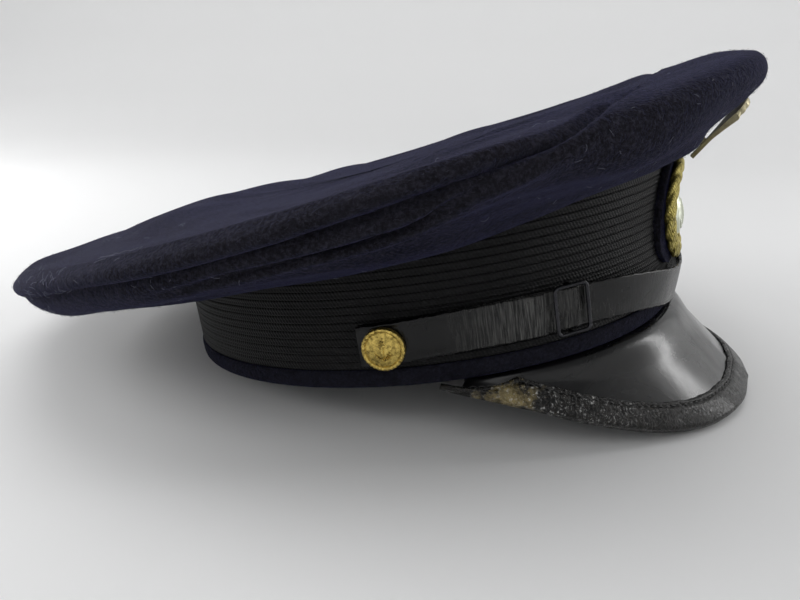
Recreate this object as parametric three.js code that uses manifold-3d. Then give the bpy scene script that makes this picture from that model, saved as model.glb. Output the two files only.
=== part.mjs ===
// A naval officer's cap, in millimetres: a wide soft crown over a ribbed band, a glossy peak,
// a chin strap with side buttons and wire slides, and a badge on the front.
// The cap frame: x forward over the peak, y to the wearer's left, h up from the lower edge of
// the band. The cap then leans back on the rear of that edge and on the sides of the peak.

import * as THREE from 'three';
import { mergeVertices } from 'three/addons/utils/BufferGeometryUtils.js';
import Module from 'manifold-3d';

const wasm = await Module();
wasm.setup();

// Driving dimensions
const STEPS = 52;                // steps round the head
const CROWN_STEPS = 44;          // steps round the crown
const BAND = { front: 93.2, rear: 93.2, side: 83.2, flare: 2.6, top: 50, bottom: 1.5 };
const RIBS = { count: 17, from: 6.3, depth: 0.7 };
const BAND_WALL = { lowFace: -1.0, insideFace: -2.4 };
const EDGE = { outside: 0.3, inside: -3.7, leaf: 1.0, floor: 1.2, top: 6.0 };
const CLOTH = { top: 1.4, side: 2.1 };   // walls of the crown
const PEAK = { thickness: 2.2, gap: 0.3, steps: 28, tuckedIn: -3.2, leaves: 0.7, headTurn: 67, bulge: -0.014 };
const PIPING = { width: 9.0, leaf: 1.0, gap: 0.36, clear: 1.3, nose: 0.9, lowNose: 1.5 };
const STRAP = { width: 13.0, thickness: 1.4, steps: 40, endTurn: 85.4 };
const STRAP_END = { gap: 0.25, thickness: 1.4, fromTurn: 50.6, toTurn: 85.4, steps: 10 };
const SLIDE = { turn: 45.2, length: 12.6, height: 16.2, wire: 1.3, gap: 0.3, standOff: 0.5, slack: 0.1, hump: 0.9, crest: 0.9, foot: 2.6 };
const BUTTON = { turn: 80.5, height: 14.0, radius: 7.2, base: 1.2, dome: 2.4, gap: 0.3, edge: 0.5, rope: 0.85, ropeTop: 1.1, groove: 0.3, strands: 16, device: 2.9 };
const BADGE = { width: 44, low: 15.6, high: 49.6, felt: 1.1, gap: 0.4, lean: 1.2, steps: 8 };
const RING = { height: 32.8, halfWidth: 16.2, halfHeight: 13.8, cord: 0.17, flat: 0.47, lay: 0.13, starts: 3, strands: 15, sides: 6, steps: 26 };
const BOSS = { height: 30.2, halfWidth: 7.6, halfHeight: 8.4, thick: 3.0, device: 0.4, deviceSize: 1.9, deviceUp: 0.6, steps: 16 };
const SHELL = {
  x: 103.9, h: 51.0, lean: 48.5, thick: 1.3, reach: 24.8, spread: 42, fall: 0.10, ear: 4.2, footLow: 0.4, footHigh: 4.0,
  ribs: 7, ribStart: 0.6, ribEnd: 1.6, ribFrom: 1.0, ribShort: 1.2, ribFan: 0.94, ribSunk: 0.38, flush: 0.2,
  post: 1.4, postAt: 6.5, postLength: 1.0, postSunk: 0.6,
};
const LEAN = 9.7 * Math.PI / 180;       // how far the lower edge rises towards the front
const REST = { x: 21.68, z: 15.76 };    // places the cap's box over the origin, on the ground

const rad = (degrees) => degrees * Math.PI / 180;
const mix = (a, b, t) => a + (b - a) * t;
const spread = (count, from, to) => [...Array(count + 1).keys()].map((i) => mix(from, to, i / count));

// Reads a column of a table whose first column is an angle from the front, smoothly.
function along(table, column, degrees) {
  const a = Math.min(Math.abs(degrees), 180);
  let i = 0;
  while (i < table.length - 2 && table[i + 1][0] < a) i += 1;
  const p = (k) => table[Math.min(Math.max(k, 0), table.length - 1)];
  const span = p(i + 1)[0] - p(i)[0];
  const t = Math.min(Math.max((a - p(i)[0]) / span, 0), 1);
  const slope = (k) => {
    const gap = p(k + 1)[0] - p(k - 1)[0];
    return gap > 0 ? (p(k + 1)[column] - p(k - 1)[column]) / gap : 0;
  };
  const [y0, y1, m0, m1] = [p(i)[column], p(i + 1)[column], slope(i) * span, slope(i + 1) * span];
  return (2 * t ** 3 - 3 * t ** 2 + 1) * y0 + (t ** 3 - 2 * t ** 2 + t) * m0
    + (-2 * t ** 3 + 3 * t ** 2) * y1 + (t ** 3 - t ** 2) * m1;
}

// A value that is known at the front, the sides and the rear.
function round(front, side, rear, turn) {
  const c = Math.cos(turn);
  return side + (front - rear) / 2 * c + ((front + rear) / 2 - side) * c * c;
}

// A point beside the band: `out` from the crest of its ribs, at height h.
function beside(turn, out, h) {
  const c = Math.cos(turn);
  const s = Math.sin(turn);
  const a = (c > 0 ? BAND.front : BAND.rear) + (c > 0 ? BAND.flare * c * c * h / BAND.top : 0);
  const b = BAND.side;
  const n = new THREE.Vector2(c / a, s / b).normalize();
  return new THREE.Vector3(a * c + n.x * out, b * s + n.y * out, h);
}

// The direction away from the band at a turn.
function outward(turn) {
  return beside(turn, 1, 20).sub(beside(turn, 0, 20)).normalize();
}

// Makes one closed body from loose triangles and turns it face out.
function body(triangles) {
  let g = new THREE.BufferGeometry();
  g.setAttribute('position', new THREE.Float32BufferAttribute(triangles.flatMap((p) => [p.x, p.y, p.z]), 3));
  g = mergeVertices(g, 1e-4);
  const from = g.index.array;
  const kept = [];
  for (let i = 0; i < from.length; i += 3) {
    const [a, b, c] = [from[i], from[i + 1], from[i + 2]];
    if (a !== b && b !== c && a !== c) kept.push(a, b, c);
  }
  const p = g.attributes.position;
  let volume = 0;
  const [A, B, C] = [new THREE.Vector3(), new THREE.Vector3(), new THREE.Vector3()];
  for (let i = 0; i < kept.length; i += 3) {
    A.fromBufferAttribute(p, kept[i]);
    B.fromBufferAttribute(p, kept[i + 1]);
    C.fromBufferAttribute(p, kept[i + 2]);
    volume += A.dot(B.cross(C));
  }
  if (volume < 0) kept.reverse();
  g.setIndex(kept);
  return g;
}

// The triangles that close a wall's end, as numbers of points round it: down the outer line
// and back up the inner one. Lines of unequal length are cut up flat.
function endCap(outer, inner) {
  const count = outer.length + inner.length;
  if (outer.length === inner.length) {
    return outer.slice(1).flatMap((p, j) => [[j, j + 1, count - 2 - j], [j, count - 2 - j, count - 1 - j]]);
  }
  const flat = [...outer, ...inner.toReversed()].map((p) => new THREE.Vector2(p.x, p.z));
  const cut = THREE.ShapeUtils.triangulateShape(flat, []);
  return THREE.ShapeUtils.isClockWise(flat) ? cut.map((face) => face.toReversed()) : cut;
}

// A wall between an outer and an inner grid of points. Each grid is a list of lines across
// the wall; the wall runs round and closes, or has two ends.
function wall(outer, inner, closes) {
  const tri = [];
  const quad = (a, b, c, d) => tri.push(a, b, c, a, c, d);
  const n = outer.length;
  const last = closes ? n : n - 1;
  for (let i = 0; i < last; i += 1) {
    const [o, p] = [outer[i], outer[(i + 1) % n]];
    const [q, r] = [inner[i], inner[(i + 1) % n]];
    for (let j = 0; j < o.length - 1; j += 1) quad(o[j], p[j], p[j + 1], o[j + 1]);
    for (let j = 0; j < q.length - 1; j += 1) quad(q[j], q[j + 1], r[j + 1], r[j]);
    quad(o[0], q[0], r[0], p[0]);
    quad(o.at(-1), p.at(-1), r.at(-1), q.at(-1));
  }
  if (!closes) {
    for (const [i, flip] of [[0, false], [n - 1, true]]) {
      const ring = [...outer[i], ...inner[i].toReversed()];
      for (const corners of endCap(outer[i], inner[i])) {
        const face = corners.map((k) => ring[k]);
        tri.push(...(flip ? face.reverse() : face));
      }
    }
  }
  return body(tri);
}

// Booleans on closed bodies
function solid(geometry) {
  let g = geometry.clone();
  g.deleteAttribute('normal');
  g.deleteAttribute('uv');
  g = mergeVertices(g, 1e-4);
  return new wasm.Manifold(new wasm.Mesh({
    numProp: 3,
    vertProperties: new Float32Array(g.attributes.position.array),
    triVerts: new Uint32Array(g.index.array),
  }));
}
function shell(manifold) {
  const m = manifold.getMesh();
  const g = new THREE.BufferGeometry();
  g.setAttribute('position', new THREE.Float32BufferAttribute(m.vertProperties, 3));
  g.setIndex([...m.triVerts]);
  return g;
}
function joined(parts) {
  return shell(parts.map(solid).reduce((a, b) => a.add(b)));
}

const COLOURS = {
  navy: { color: 0x1d1c33, roughness: 0.95, metalness: 0 },
  mohair: { color: 0x17171a, roughness: 0.8, metalness: 0 },
  patent: { color: 0x0c0c0e, roughness: 0.18, metalness: 0 },
  leather: { color: 0x131211, roughness: 0.45, metalness: 0 },
  darkWire: { color: 0x2b2b2e, roughness: 0.3, metalness: 0.8 },
  brass: { color: 0xb59a3c, roughness: 0.35, metalness: 1 },
  bullion: { color: 0x8a7a3a, roughness: 0.55, metalness: 0.7 },
  silver: { color: 0xc9d2c6, roughness: 0.35, metalness: 0.9 },
  tarnish: { color: 0x7d7457, roughness: 0.45, metalness: 0.85 },
};
const tilt = new THREE.Group();
function piece(name, geometry, look) {
  const mesh = new THREE.Mesh(geometry, new THREE.MeshStandardMaterial(COLOURS[look]));
  mesh.name = name;
  tilt.add(mesh);
  return mesh;
}

// Crown. Each row is a line round the outside of the cloth, from the middle of the top over
// the rolled edge and down its underside.
const CROWN_ROWS = [
  // name,        front,   rear,  side, hFront, hSide, hRear
  ['top_sag', 30.0, -74.0, 38.0, 66.8, 57.0, 53.4],
  ['top_inner', 52.1, -95.5, 72.0, 71.2, 57.9, 54.5],
  ['top_middle', 93.6, -118.0, 88.0, 77.5, 58.5, 48.8],
  ['top_ridge', 112.4, -139.0, 105.5, 80.9, 59.6, 44.2],
  ['top_trough', 119.7, -148.0, 114.0, 82.1, 59.2, 43.0],
  ['top_outer', 124.3, -154.0, 119.0, 82.8, 60.0, 42.0],
  ['edge_upper', 128.1, -159.6, 123.3, 80.8, 58.2, 40.6],
  ['edge', 128.9, -163.0, 125.4, 76.8, 54.5, 37.2],
  ['edge_lower', 127.5, -162.0, 124.0, 72.7, 50.3, 33.4],
  ['fold_1', 124.2, -158.4, 120.5, 70.9, 47.5, 29.9],
  ['bulge_1', 120.0, -153.0, 118.0, 67.4, 45.2, 26.6],
  ['fold_2', 115.9, -145.7, 111.0, 63.9, 43.6, 24.4],
  ['bulge_2', 111.8, -134.6, 105.0, 60.7, 42.0, 23.2],
];
const CROWN_MIDDLE = { x: -15.5, h: 57.9 };
// The left side of the crown has sunk a little behind, and stands a little higher in front.
const LEFT_SAG_PART = { top_sag: 0, top_inner: 0, top_middle: 0, top_ridge: 0.7 };   // rows near the middle sag less
const LEFT_SAG = [
  // turn, drop
  [0, 0], [28, -3.0], [60, 0.4], [80, 1.0], [100, 2.2], [130, 2.2], [180, 0],
];
// Long soft folds in the right side: how deep each presses in, where and how far it runs.
const SIDE_FOLDS = [
  // row,          turn, half run, press
  ['top_trough', -62, 34, 1.4],
  ['fold_1', -76, 36, 1.3],
  ['fold_2', -72, 30, 1.3],
  ['bulge_1', -74, 30, -0.7],
  ['bulge_2', -70, 30, -0.7],
];
// How far the cloth hangs over the top of the band, by angle from the front.
const DROOP = [
  [0, 0.0], [20, 0.9], [38, 2.2], [50, 5.0], [64, 8.8], [76, 10.9], [90, 13.3], [108, 15.0], [125, 17.4], [142, 22.0], [180, 24.0],
];
// Rows beside the band: distance out and height over the hanging line, at front, side and rear.
const DROOP_ROWS = [
  // name, outFront, outSide, outRear, upFront, upSide, upRear
  ['hang_out', 10.5, 15.0, 27.0, 6.2, 3.6, -2.6],
  ['hang_low', 7.6, 8.0, 12.0, 3.8, 1.0, -2.4],
  ['tuck', 5.2, 3.4, 4.6, 2.6, 0.2, -0.8],
  ['flank', 3.2, 0.9, 0.9, 1.7, 2.4, 2.6],
];
const DROOP_INSIDE = [
  ['hang_out', 9.4, 15.0, 26.0, 8.2, 5.8, -0.4],
  ['hang_low', 7.0, 9.0, 12.6, 6.0, 3.3, 0.0],
  ['tuck', 5.2, 5.6, 6.8, 4.8, 2.9, 2.0],
  ['flank', 3.6, 3.0, 3.0, 3.9, 4.6, 5.0],
];
const SEAM = { flankOut: 0.6, flankBelow: 0.1, inside: 2.7, insideUp: 1.6, over: 0.4, tuckedTo: -1.4, thick: 1.0, join: 0.3 };
const NEARBY = 0.05;             // a small turn, for slopes

function crownPoint(row, turn) {
  const [name, front, rear, side, hFront, hSide, hRear] = row;
  const degrees = turn * 180 / Math.PI;
  let press = 0;
  for (const [at, middle, run, depth] of SIDE_FOLDS) {
    const away = (((degrees - middle) % 360) + 540) % 360 - 180;
    if (at === name && Math.abs(away) < run) press += depth * Math.cos(away / run * Math.PI / 2) ** 2;
  }
  const c = Math.cos(turn);
  const s = Math.sin(turn);
  const grow = 1 - press / side;
  const up = name.startsWith('top') ? -press : 0;
  const inward = name.startsWith('top') ? 1 : grow;
  return new THREE.Vector3(
    (front + rear) / 2 + (front - rear) / 2 * c * inward,
    side * s * inward,
    round(hFront, hSide, hRear, turn) + up - (turn > 0 ? along(LEFT_SAG, 1, degrees) * (LEFT_SAG_PART[name] ?? 1) : 0),
  );
}
function droopPoint(row, turn) {
  const [, outFront, outSide, outRear, upFront, upSide, upRear] = row;
  const line = BAND.top - along(DROOP, 1, turn * 180 / Math.PI);
  return beside(turn, round(outFront, outSide, outRear, turn), line + round(upFront, upSide, upRear, turn));
}
function crownOutside(turn) {
  const line = [new THREE.Vector3(CROWN_MIDDLE.x, 0, CROWN_MIDDLE.h)];
  for (const row of CROWN_ROWS) line.push(crownPoint(row, turn));
  for (const row of DROOP_ROWS) line.push(droopPoint(row, turn));
  line.push(beside(turn, SEAM.flankOut, BAND.top - SEAM.flankBelow));
  line.push(beside(turn, SEAM.tuckedTo, BAND.top + SEAM.over));
  return line;
}
// The crown is an oval top and two sides, sewn where the cloth turns over, so its lines are
// cut in two there. The inside has fewer rows.
const TOP_ROWS = ['top_sag', 'top_inner', 'top_middle', 'top_outer'];
const SIDE_ROWS = ['edge', 'edge_lower', 'bulge_1', 'bulge_2'];
const SEWN_ROW = CROWN_ROWS.findIndex((row) => row[0] === 'edge_upper');
function insidePoint(row, turn, cloth) {
  const i = CROWN_ROWS.indexOf(row);
  const before = i > 0 ? crownPoint(CROWN_ROWS[i - 1], turn) : new THREE.Vector3(CROWN_MIDDLE.x, 0, CROWN_MIDDLE.h);
  const after = i < CROWN_ROWS.length - 1 ? crownPoint(CROWN_ROWS[i + 1], turn) : droopPoint(DROOP_ROWS[0], turn);
  const down = after.clone().sub(before);
  const across = crownPoint(row, turn + NEARBY).sub(crownPoint(row, turn - NEARBY));
  return crownPoint(row, turn).addScaledVector(across.cross(down).normalize(), cloth);
}
const insideRows = (names, turn, cloth) => CROWN_ROWS.filter((row) => names.includes(row[0])).map((row) => insidePoint(row, turn, cloth));
const onward = (from, to, distance) => from.clone().add(to.clone().sub(from).setLength(distance));

function topOutside(turn) {
  return crownOutside(turn).slice(0, SEWN_ROW + 2);
}
function topInside(turn) {
  const middle = new THREE.Vector3(CROWN_MIDDLE.x, 0, CROWN_MIDDLE.h - CLOTH.top);
  return [middle, ...insideRows(TOP_ROWS, turn, CLOTH.top), insidePoint(CROWN_ROWS[SEWN_ROW], turn, CLOTH.top)];
}
function sideOutside(turn) {
  const [sewn, ...rest] = crownOutside(turn).slice(SEWN_ROW + 1);
  return [onward(sewn, rest[0], SEAM.join), ...rest];
}
function sideInside(turn) {
  const rest = [
    ...insideRows(SIDE_ROWS, turn, CLOTH.side),
    ...DROOP_INSIDE.map((row) => droopPoint(row, turn)),
    beside(turn, SEAM.inside, BAND.top + SEAM.insideUp),
    beside(turn, SEAM.tuckedTo, BAND.top + SEAM.over + SEAM.thick),
  ];
  return [onward(insidePoint(CROWN_ROWS[SEWN_ROW], turn, CLOTH.side), rest[0], SEAM.join), ...rest];
}
const allRound = (count) => [...Array(count).keys()].map((i) => (i / count * 2 - 1) * Math.PI);
const crownTurns = allRound(CROWN_STEPS);
piece('crown_top', wall(crownTurns.map(topOutside), crownTurns.map(topInside), true), 'navy');
for (const [side, name] of [[-1, 'crown_side_right'], [1, 'crown_side_left']]) {
  const ends = SEAM.join / 2 / BAND.front;
  const halfTurns = spread(CROWN_STEPS / 2, ends, Math.PI - ends).map((turn) => side * turn);
  piece(name, wall(halfTurns.map(sideOutside), halfTurns.map(sideInside), false), 'navy');
}

// Band: ribs run round the outside, and its plain lower end stands in the folded cloth edge.
const turns = allRound(STEPS);
function bandOutside(turn) {
  const pitch = (BAND.top - RIBS.from) / RIBS.count;
  const line = [beside(turn, BAND_WALL.lowFace, BAND.bottom)];
  for (let i = 0; i < RIBS.count; i += 1) {
    line.push(beside(turn, i === 0 ? BAND_WALL.lowFace : -RIBS.depth, RIBS.from + pitch * i));
    line.push(beside(turn, 0, RIBS.from + pitch * (i + 0.5)));
  }
  line.push(beside(turn, -RIBS.depth, BAND.top));
  return line;
}
const bandInside = (turn) => [beside(turn, BAND_WALL.insideFace, BAND.bottom), beside(turn, BAND_WALL.insideFace, BAND.top)];
piece('band', wall(turns.map(bandOutside), turns.map(bandInside), true), 'mohair');

// Folded cloth edge: a U round the lower end of the band.
const edgeOutside = (turn) => [
  beside(turn, EDGE.inside, EDGE.top), beside(turn, EDGE.inside, 0),
  beside(turn, EDGE.outside, 0), beside(turn, EDGE.outside, EDGE.top)];
const edgeInside = (turn) => [
  beside(turn, EDGE.inside + EDGE.leaf, EDGE.top), beside(turn, EDGE.inside + EDGE.leaf, EDGE.floor),
  beside(turn, EDGE.outside - EDGE.leaf, EDGE.floor), beside(turn, EDGE.outside - EDGE.leaf, EDGE.top)];
piece('rim_binding', wall(turns.map(edgeOutside), turns.map(edgeInside), true), 'navy');

// Peak. The table gives its outer edge, from the front to where it meets the band.
const PEAK_EDGE = [
  // turn, forward, aside, drop
  [0, 118.4, 0.0, 31.4],
  [15, 115.5, 20.8, 31.5],
  [30, 105.8, 40.4, 30.2],
  [45, 90.0, 56.6, 24.8],
  [60, 70.2, 69.1, 15.7],
  [75, 47.3, 77.2, 5.2],
  [82, 36.3, 80.2, 1.2],
];
const PEAK_ENDS = PEAK_EDGE.at(-1)[0];
function peakTop(s) {
  const turn = rad(PEAK.headTurn * s);
  const degrees = PEAK_ENDS * Math.abs(s);
  const edge = new THREE.Vector3(
    along(PEAK_EDGE, 1, degrees), Math.sign(s) * along(PEAK_EDGE, 2, degrees), -along(PEAK_EDGE, 3, degrees));
  const root = beside(turn, PEAK.leaves, -PEAK.gap);
  const line = [beside(turn, PEAK.tuckedIn, -PEAK.gap), root];
  for (const v of [1 / 3, 2 / 3]) {
    const p = root.clone().lerp(edge, v);
    p.z += Math.sin(v * Math.PI) * root.distanceTo(edge) * PEAK.bulge;
    line.push(p);
  }
  line.push(edge);
  return line;
}
function peakNormals(s) {
  const line = peakTop(s);
  const [a, b] = [peakTop(Math.max(s - NEARBY, -1)), peakTop(Math.min(s + NEARBY, 1))];
  return line.map((p, j) => {
    const across = line[Math.min(j + 1, line.length - 1)].clone().sub(line[Math.max(j - 1, 0)]);
    const n = across.cross(b[j].clone().sub(a[j])).normalize();
    if (n.z < 0) n.negate();
    return j < 1 ? new THREE.Vector3(0, 0, 1) : n;
  });
}
function peakUnderside(s) {
  const normals = peakNormals(s);
  return peakTop(s).map((p, j) => p.addScaledVector(normals[j], -PEAK.thickness));
}
const peakStations = spread(PEAK.steps, -1, 1);
piece('peak', wall(peakStations.map(peakTop), peakStations.map(peakUnderside), false), 'patent');

// Leather edge folded round the rim of the peak.
function pipingLines(s) {
  const top = peakTop(s);
  const edge = top.at(-1);
  const e = edge.clone().sub(top.at(-2)).normalize();
  const n = peakNormals(s).at(-1);
  const low = peakUnderside(s).slice(-2);
  const f = low[1].clone().sub(low[0]).normalize();
  const width = Math.min(PIPING.width, edge.distanceTo(top[1]) - PIPING.clear);
  const turnedUnder = Math.min(width, low[1].distanceTo(low[0]));
  const over = (out, up) => edge.clone().addScaledVector(e, out).addScaledVector(n, up);
  const under = (out, down) => low[1].clone().addScaledVector(f, out).addScaledVector(n, -down);
  const [g, l] = [PIPING.gap, PIPING.leaf];
  return {
    inner: [over(-width, g), over(g * 0.5, g), over(g, -PEAK.thickness / 2), under(g * 0.5, g), under(-turnedUnder, g)],
    outer: [over(-width, g + l), over(PIPING.nose, g + l), over(g + l, -PEAK.thickness / 2), under(PIPING.lowNose, g + l), under(-turnedUnder, g + l)],
  };
}
piece('peak_binding', wall(
  peakStations.map((s) => pipingLines(s).outer), peakStations.map((s) => pipingLines(s).inner), false), 'leather');

// Chin strap. The table gives its middle height and how far its two edges stand off the ribs.
const STRAP_LINE = [
  // turn, height, outLow, outHigh
  [0, 7.2, 1.0, 3.9],
  [12, 9.4, 1.1, 3.9],
  [21, 12.4, 1.3, 3.5],
  [30, 14.8, 1.4, 2.8],
  [42, 16.5, 1.2, 1.8],
  [50, 16.8, 1.0, 1.2],
  [60, 16.9, 0.8, 0.8],
  [70, 16.4, 0.7, 0.7],
  [80, 15.3, 0.7, 0.7],
  [90, 14.5, 0.7, 0.7],
];
function strapLine(degrees, extra) {
  const turn = rad(degrees);
  const middle = along(STRAP_LINE, 1, degrees);
  const off = Math.abs(Math.abs(degrees) - SLIDE.turn);
  const lift = Math.min(1, Math.max(0, (SLIDE.foot - off) / (SLIDE.foot - SLIDE.crest))) * SLIDE.hump;
  return [-0.5, 0.5].map((k) => beside(
    turn, along(STRAP_LINE, k < 0 ? 2 : 3, degrees) + extra + lift, middle + k * STRAP.width));
}
function strapTurns(from, to, count) {
  const list = spread(count, from, to);
  for (const at of [-1, 1]) {
    for (const off of [-SLIDE.foot, -SLIDE.crest, SLIDE.crest, SLIDE.foot]) {
      const turn = at * SLIDE.turn + off;
      if (turn > Math.min(from, to) && turn < Math.max(from, to)) list.push(turn);
    }
  }
  return list.sort((a, b) => a - b);
}
const strapAt = strapTurns(-STRAP.endTurn, STRAP.endTurn, STRAP.steps);
piece('chin_strap', wall(
  strapAt.map((d) => strapLine(d, STRAP.thickness)), strapAt.map((d) => strapLine(d, 0)), false), 'patent');
for (const [side, name] of [[-1, 'strap_end_right'], [1, 'strap_end_left']]) {
  const at = spread(STRAP_END.steps, side * STRAP_END.fromTurn, side * STRAP_END.toTurn);
  const low = STRAP.thickness + STRAP_END.gap;
  piece(name, wall(
    at.map((d) => strapLine(d, low + STRAP_END.thickness)), at.map((d) => strapLine(d, low)), false), 'patent');
}

// A frame whose z looks away from the band, with y up along the strap.
function facing(degrees, out, h) {
  const turn = rad(degrees);
  const away = outward(turn);
  const up = new THREE.Vector3(0, 0, 1);
  const sideways = up.clone().cross(away);
  return new THREE.Matrix4().makeBasis(sideways, up, away).setPosition(beside(turn, out, h));
}

// Wire slide: a frame over the strap, with a bar across behind it.
for (const [side, name] of [[-1, 'slide_right'], [1, 'slide_left']]) {
  const middle = along(STRAP_LINE, 1, SLIDE.turn);
  const strapFace = along(STRAP_LINE, 3, SLIDE.turn) + STRAP.thickness;
  const w = SLIDE.wire;
  const front = strapFace + SLIDE.gap + w / 2 + SLIDE.standOff;
  const back = along(STRAP_LINE, 2, SLIDE.turn) + SLIDE.hump - SLIDE.gap - w / 2 + SLIDE.slack;
  const bar = (width, height, x, y, z, depth = w) => new THREE.BoxGeometry(width, height, depth).translate(x, y, z);
  const x = SLIDE.length / 2 - w / 2;
  const y = SLIDE.height / 2 - w / 2;
  const parts = [
    bar(w, SLIDE.height - w, -x, 0, front), bar(w, SLIDE.height - w, x, 0, front),
    bar(SLIDE.length - w, w, 0, -y, front), bar(SLIDE.length - w, w, 0, y, front),
    bar(w, w, 0, y, (front + back) / 2, front - back + w), bar(w, w, 0, -y, (front + back) / 2, front - back + w),
    bar(w, SLIDE.height - w, 0, 0, back),
    ...[[-x, -y], [x, -y], [-x, y], [x, y]].map(([cx, cy]) => new THREE.CylinderGeometry(w / 2, w / 2, w, 8).rotateX(Math.PI / 2).translate(cx, cy, front)),
  ];
  piece(name, joined(parts).applyMatrix4(facing(side * SLIDE.turn, 0, middle)), 'darkWire');
}

// Outline of a plain anchor: ring, stock, shank and arms.
const ANCHOR = [
  [-0.35, -2.0], [-0.35, 1.3], [-1.3, 1.3], [-1.3, 1.9], [-0.35, 1.9], [-0.5, 2.9], [0.5, 2.9], [0.35, 1.9], [1.3, 1.9], [1.3, 1.3],
  [0.35, 1.3], [0.35, -2.0], [1.6, -1.3], [2.6, -0.2], [2.2, -2.0], [0, -3.2], [-2.2, -2.0], [-2.6, -0.2], [-1.6, -1.3],
];
const device = (size) => new THREE.Shape(ANCHOR.map(([x, y]) => new THREE.Vector2(x * size, y * size)));

// Side button: a low dome in a roped rim, with a plain anchor raised on it.
const DOME = [
  // part of the radius, part of the height
  [0.6, 0.62], [0.3, 0.92], [0, 1],
];
for (const [side, name] of [[-1, 'button_right'], [1, 'button_left']]) {
  const r = BUTTON.radius;
  const rope = r - BUTTON.rope;
  const top = BUTTON.base + BUTTON.groove;
  const profile = [
    [0, 0], [rope, 0], [r, BUTTON.edge], [r, BUTTON.base + BUTTON.edge],
    [rope + BUTTON.groove, BUTTON.base + BUTTON.ropeTop], [rope - BUTTON.rope, top],
    ...DOME.map(([part, rise]) => [r * part, BUTTON.base + BUTTON.dome * rise]),
  ].map(([x, y]) => new THREE.Vector2(x, y));
  const dome = new THREE.LatheGeometry(profile, BUTTON.strands).rotateX(Math.PI / 2);
  const anchor = new THREE.ExtrudeGeometry(device(1), { depth: BUTTON.device - BUTTON.groove, bevelEnabled: false }).translate(0, 0, top);
  const face = STRAP.thickness + STRAP_END.gap + STRAP_END.thickness + along(STRAP_LINE, 2, BUTTON.turn) + BUTTON.gap;
  piece(name, joined([dome, anchor]).applyMatrix4(facing(side * BUTTON.turn, face, BUTTON.height)), 'brass');
}

// Badge: a felt pad bent round the front of the band, an oval roped ring and a boss on it, and
// a plate in the shape of a scallop shell above, leaning forward under the crown.
function badgeFace(y, h, out) {
  const turn = Math.asin(Math.max(-1, Math.min(1, y / BAND.side)));
  return beside(turn, out, h);
}
const standOff = (h) => BADGE.lean * (h - BADGE.low) / (BADGE.high - BADGE.low);
const feltOut = BADGE.gap + BADGE.felt;
const FELT_OUTLINE = [
  // part of the height, part of the half width
  [0, 0.42], [0.08, 0.74], [0.25, 0.96], [0.45, 1.0], [0.7, 0.9], [0.88, 0.72], [1, 0.5],
];
function feltLine(row, out, leaning) {
  const [part, wide] = row;
  const h = mix(BADGE.low, BADGE.high, part);
  return spread(BADGE.steps, -1, 1).map((k) => badgeFace(k * wide * BADGE.width / 2, h, out + leaning * standOff(h)));
}
piece('badge_backing', wall(
  FELT_OUTLINE.map((row) => feltLine(row, feltOut, 1)), FELT_OUTLINE.map((row) => feltLine(row, BADGE.gap, 0)), false), 'navy');

// Bends a flat relief, with x across the badge, y up and z outwards, round the band.
function bent(geometry) {
  const g = geometry.clone();
  g.deleteAttribute('normal');
  g.deleteAttribute('uv');
  const p = g.attributes.position;
  for (let i = 0; i < p.count; i += 1) {
    const q = badgeFace(p.getX(i), p.getY(i), p.getZ(i) + standOff(p.getY(i)));
    p.setXYZ(i, q.x, q.y, q.z);
  }
  return g;
}

// Ring: a thick oval of laid cord round the boss.
const ring = new THREE.TorusGeometry(1, RING.cord, RING.sides, RING.steps);
const ringPoints = ring.attributes.position;
for (let i = 0; i < ringPoints.count; i += 1) {
  const [x, y, z] = [ringPoints.getX(i), ringPoints.getY(i), ringPoints.getZ(i)];
  const alongRing = Math.atan2(y, x);
  const middle = new THREE.Vector3(Math.cos(alongRing), Math.sin(alongRing), 0);
  const off = new THREE.Vector3(x, y, z).sub(middle);
  const aboutCord = Math.atan2(off.z, off.dot(middle));
  off.multiplyScalar(1 + RING.lay * Math.cos(RING.starts * aboutCord + RING.strands * alongRing));
  const oval = new THREE.Vector3(RING.halfWidth, RING.halfHeight, 1);
  const p = middle.clone().multiply(oval).addScaledVector(off, RING.halfWidth);
  ringPoints.setXYZ(i, p.x, p.y, p.z * RING.flat);
}
const badgeSeat = feltOut + BADGE.gap;
ring.translate(0, RING.height, badgeSeat + RING.halfWidth * RING.cord * RING.flat * (1 + RING.lay));
piece('badge_ring', joined([bent(ring)]), 'bullion');

// Boss: a plain oval dome with a rim, and the same plain anchor.
const BOSS_PROFILE = [
  // part of the half width, height
  [0, 0], [1, 0], [1, 1.1], [0.86, 1.6], [0.78, 1.1], [0.5, 2.1], [0, BOSS.thick],
];
const bossDome = new THREE.LatheGeometry(BOSS_PROFILE.map(([x, y]) => new THREE.Vector2(x, y)), BOSS.steps)
  .rotateX(Math.PI / 2).scale(BOSS.halfWidth, BOSS.halfHeight, 1);
const bossAnchor = new THREE.ExtrudeGeometry(device(BOSS.deviceSize), { depth: BOSS.thick, bevelEnabled: false })
  .translate(0, BOSS.deviceUp, BOSS.device);
piece('badge_boss', joined([bossDome, bossAnchor].map((g) => bent(g.translate(0, BOSS.height, badgeSeat)))), 'silver');

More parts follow.
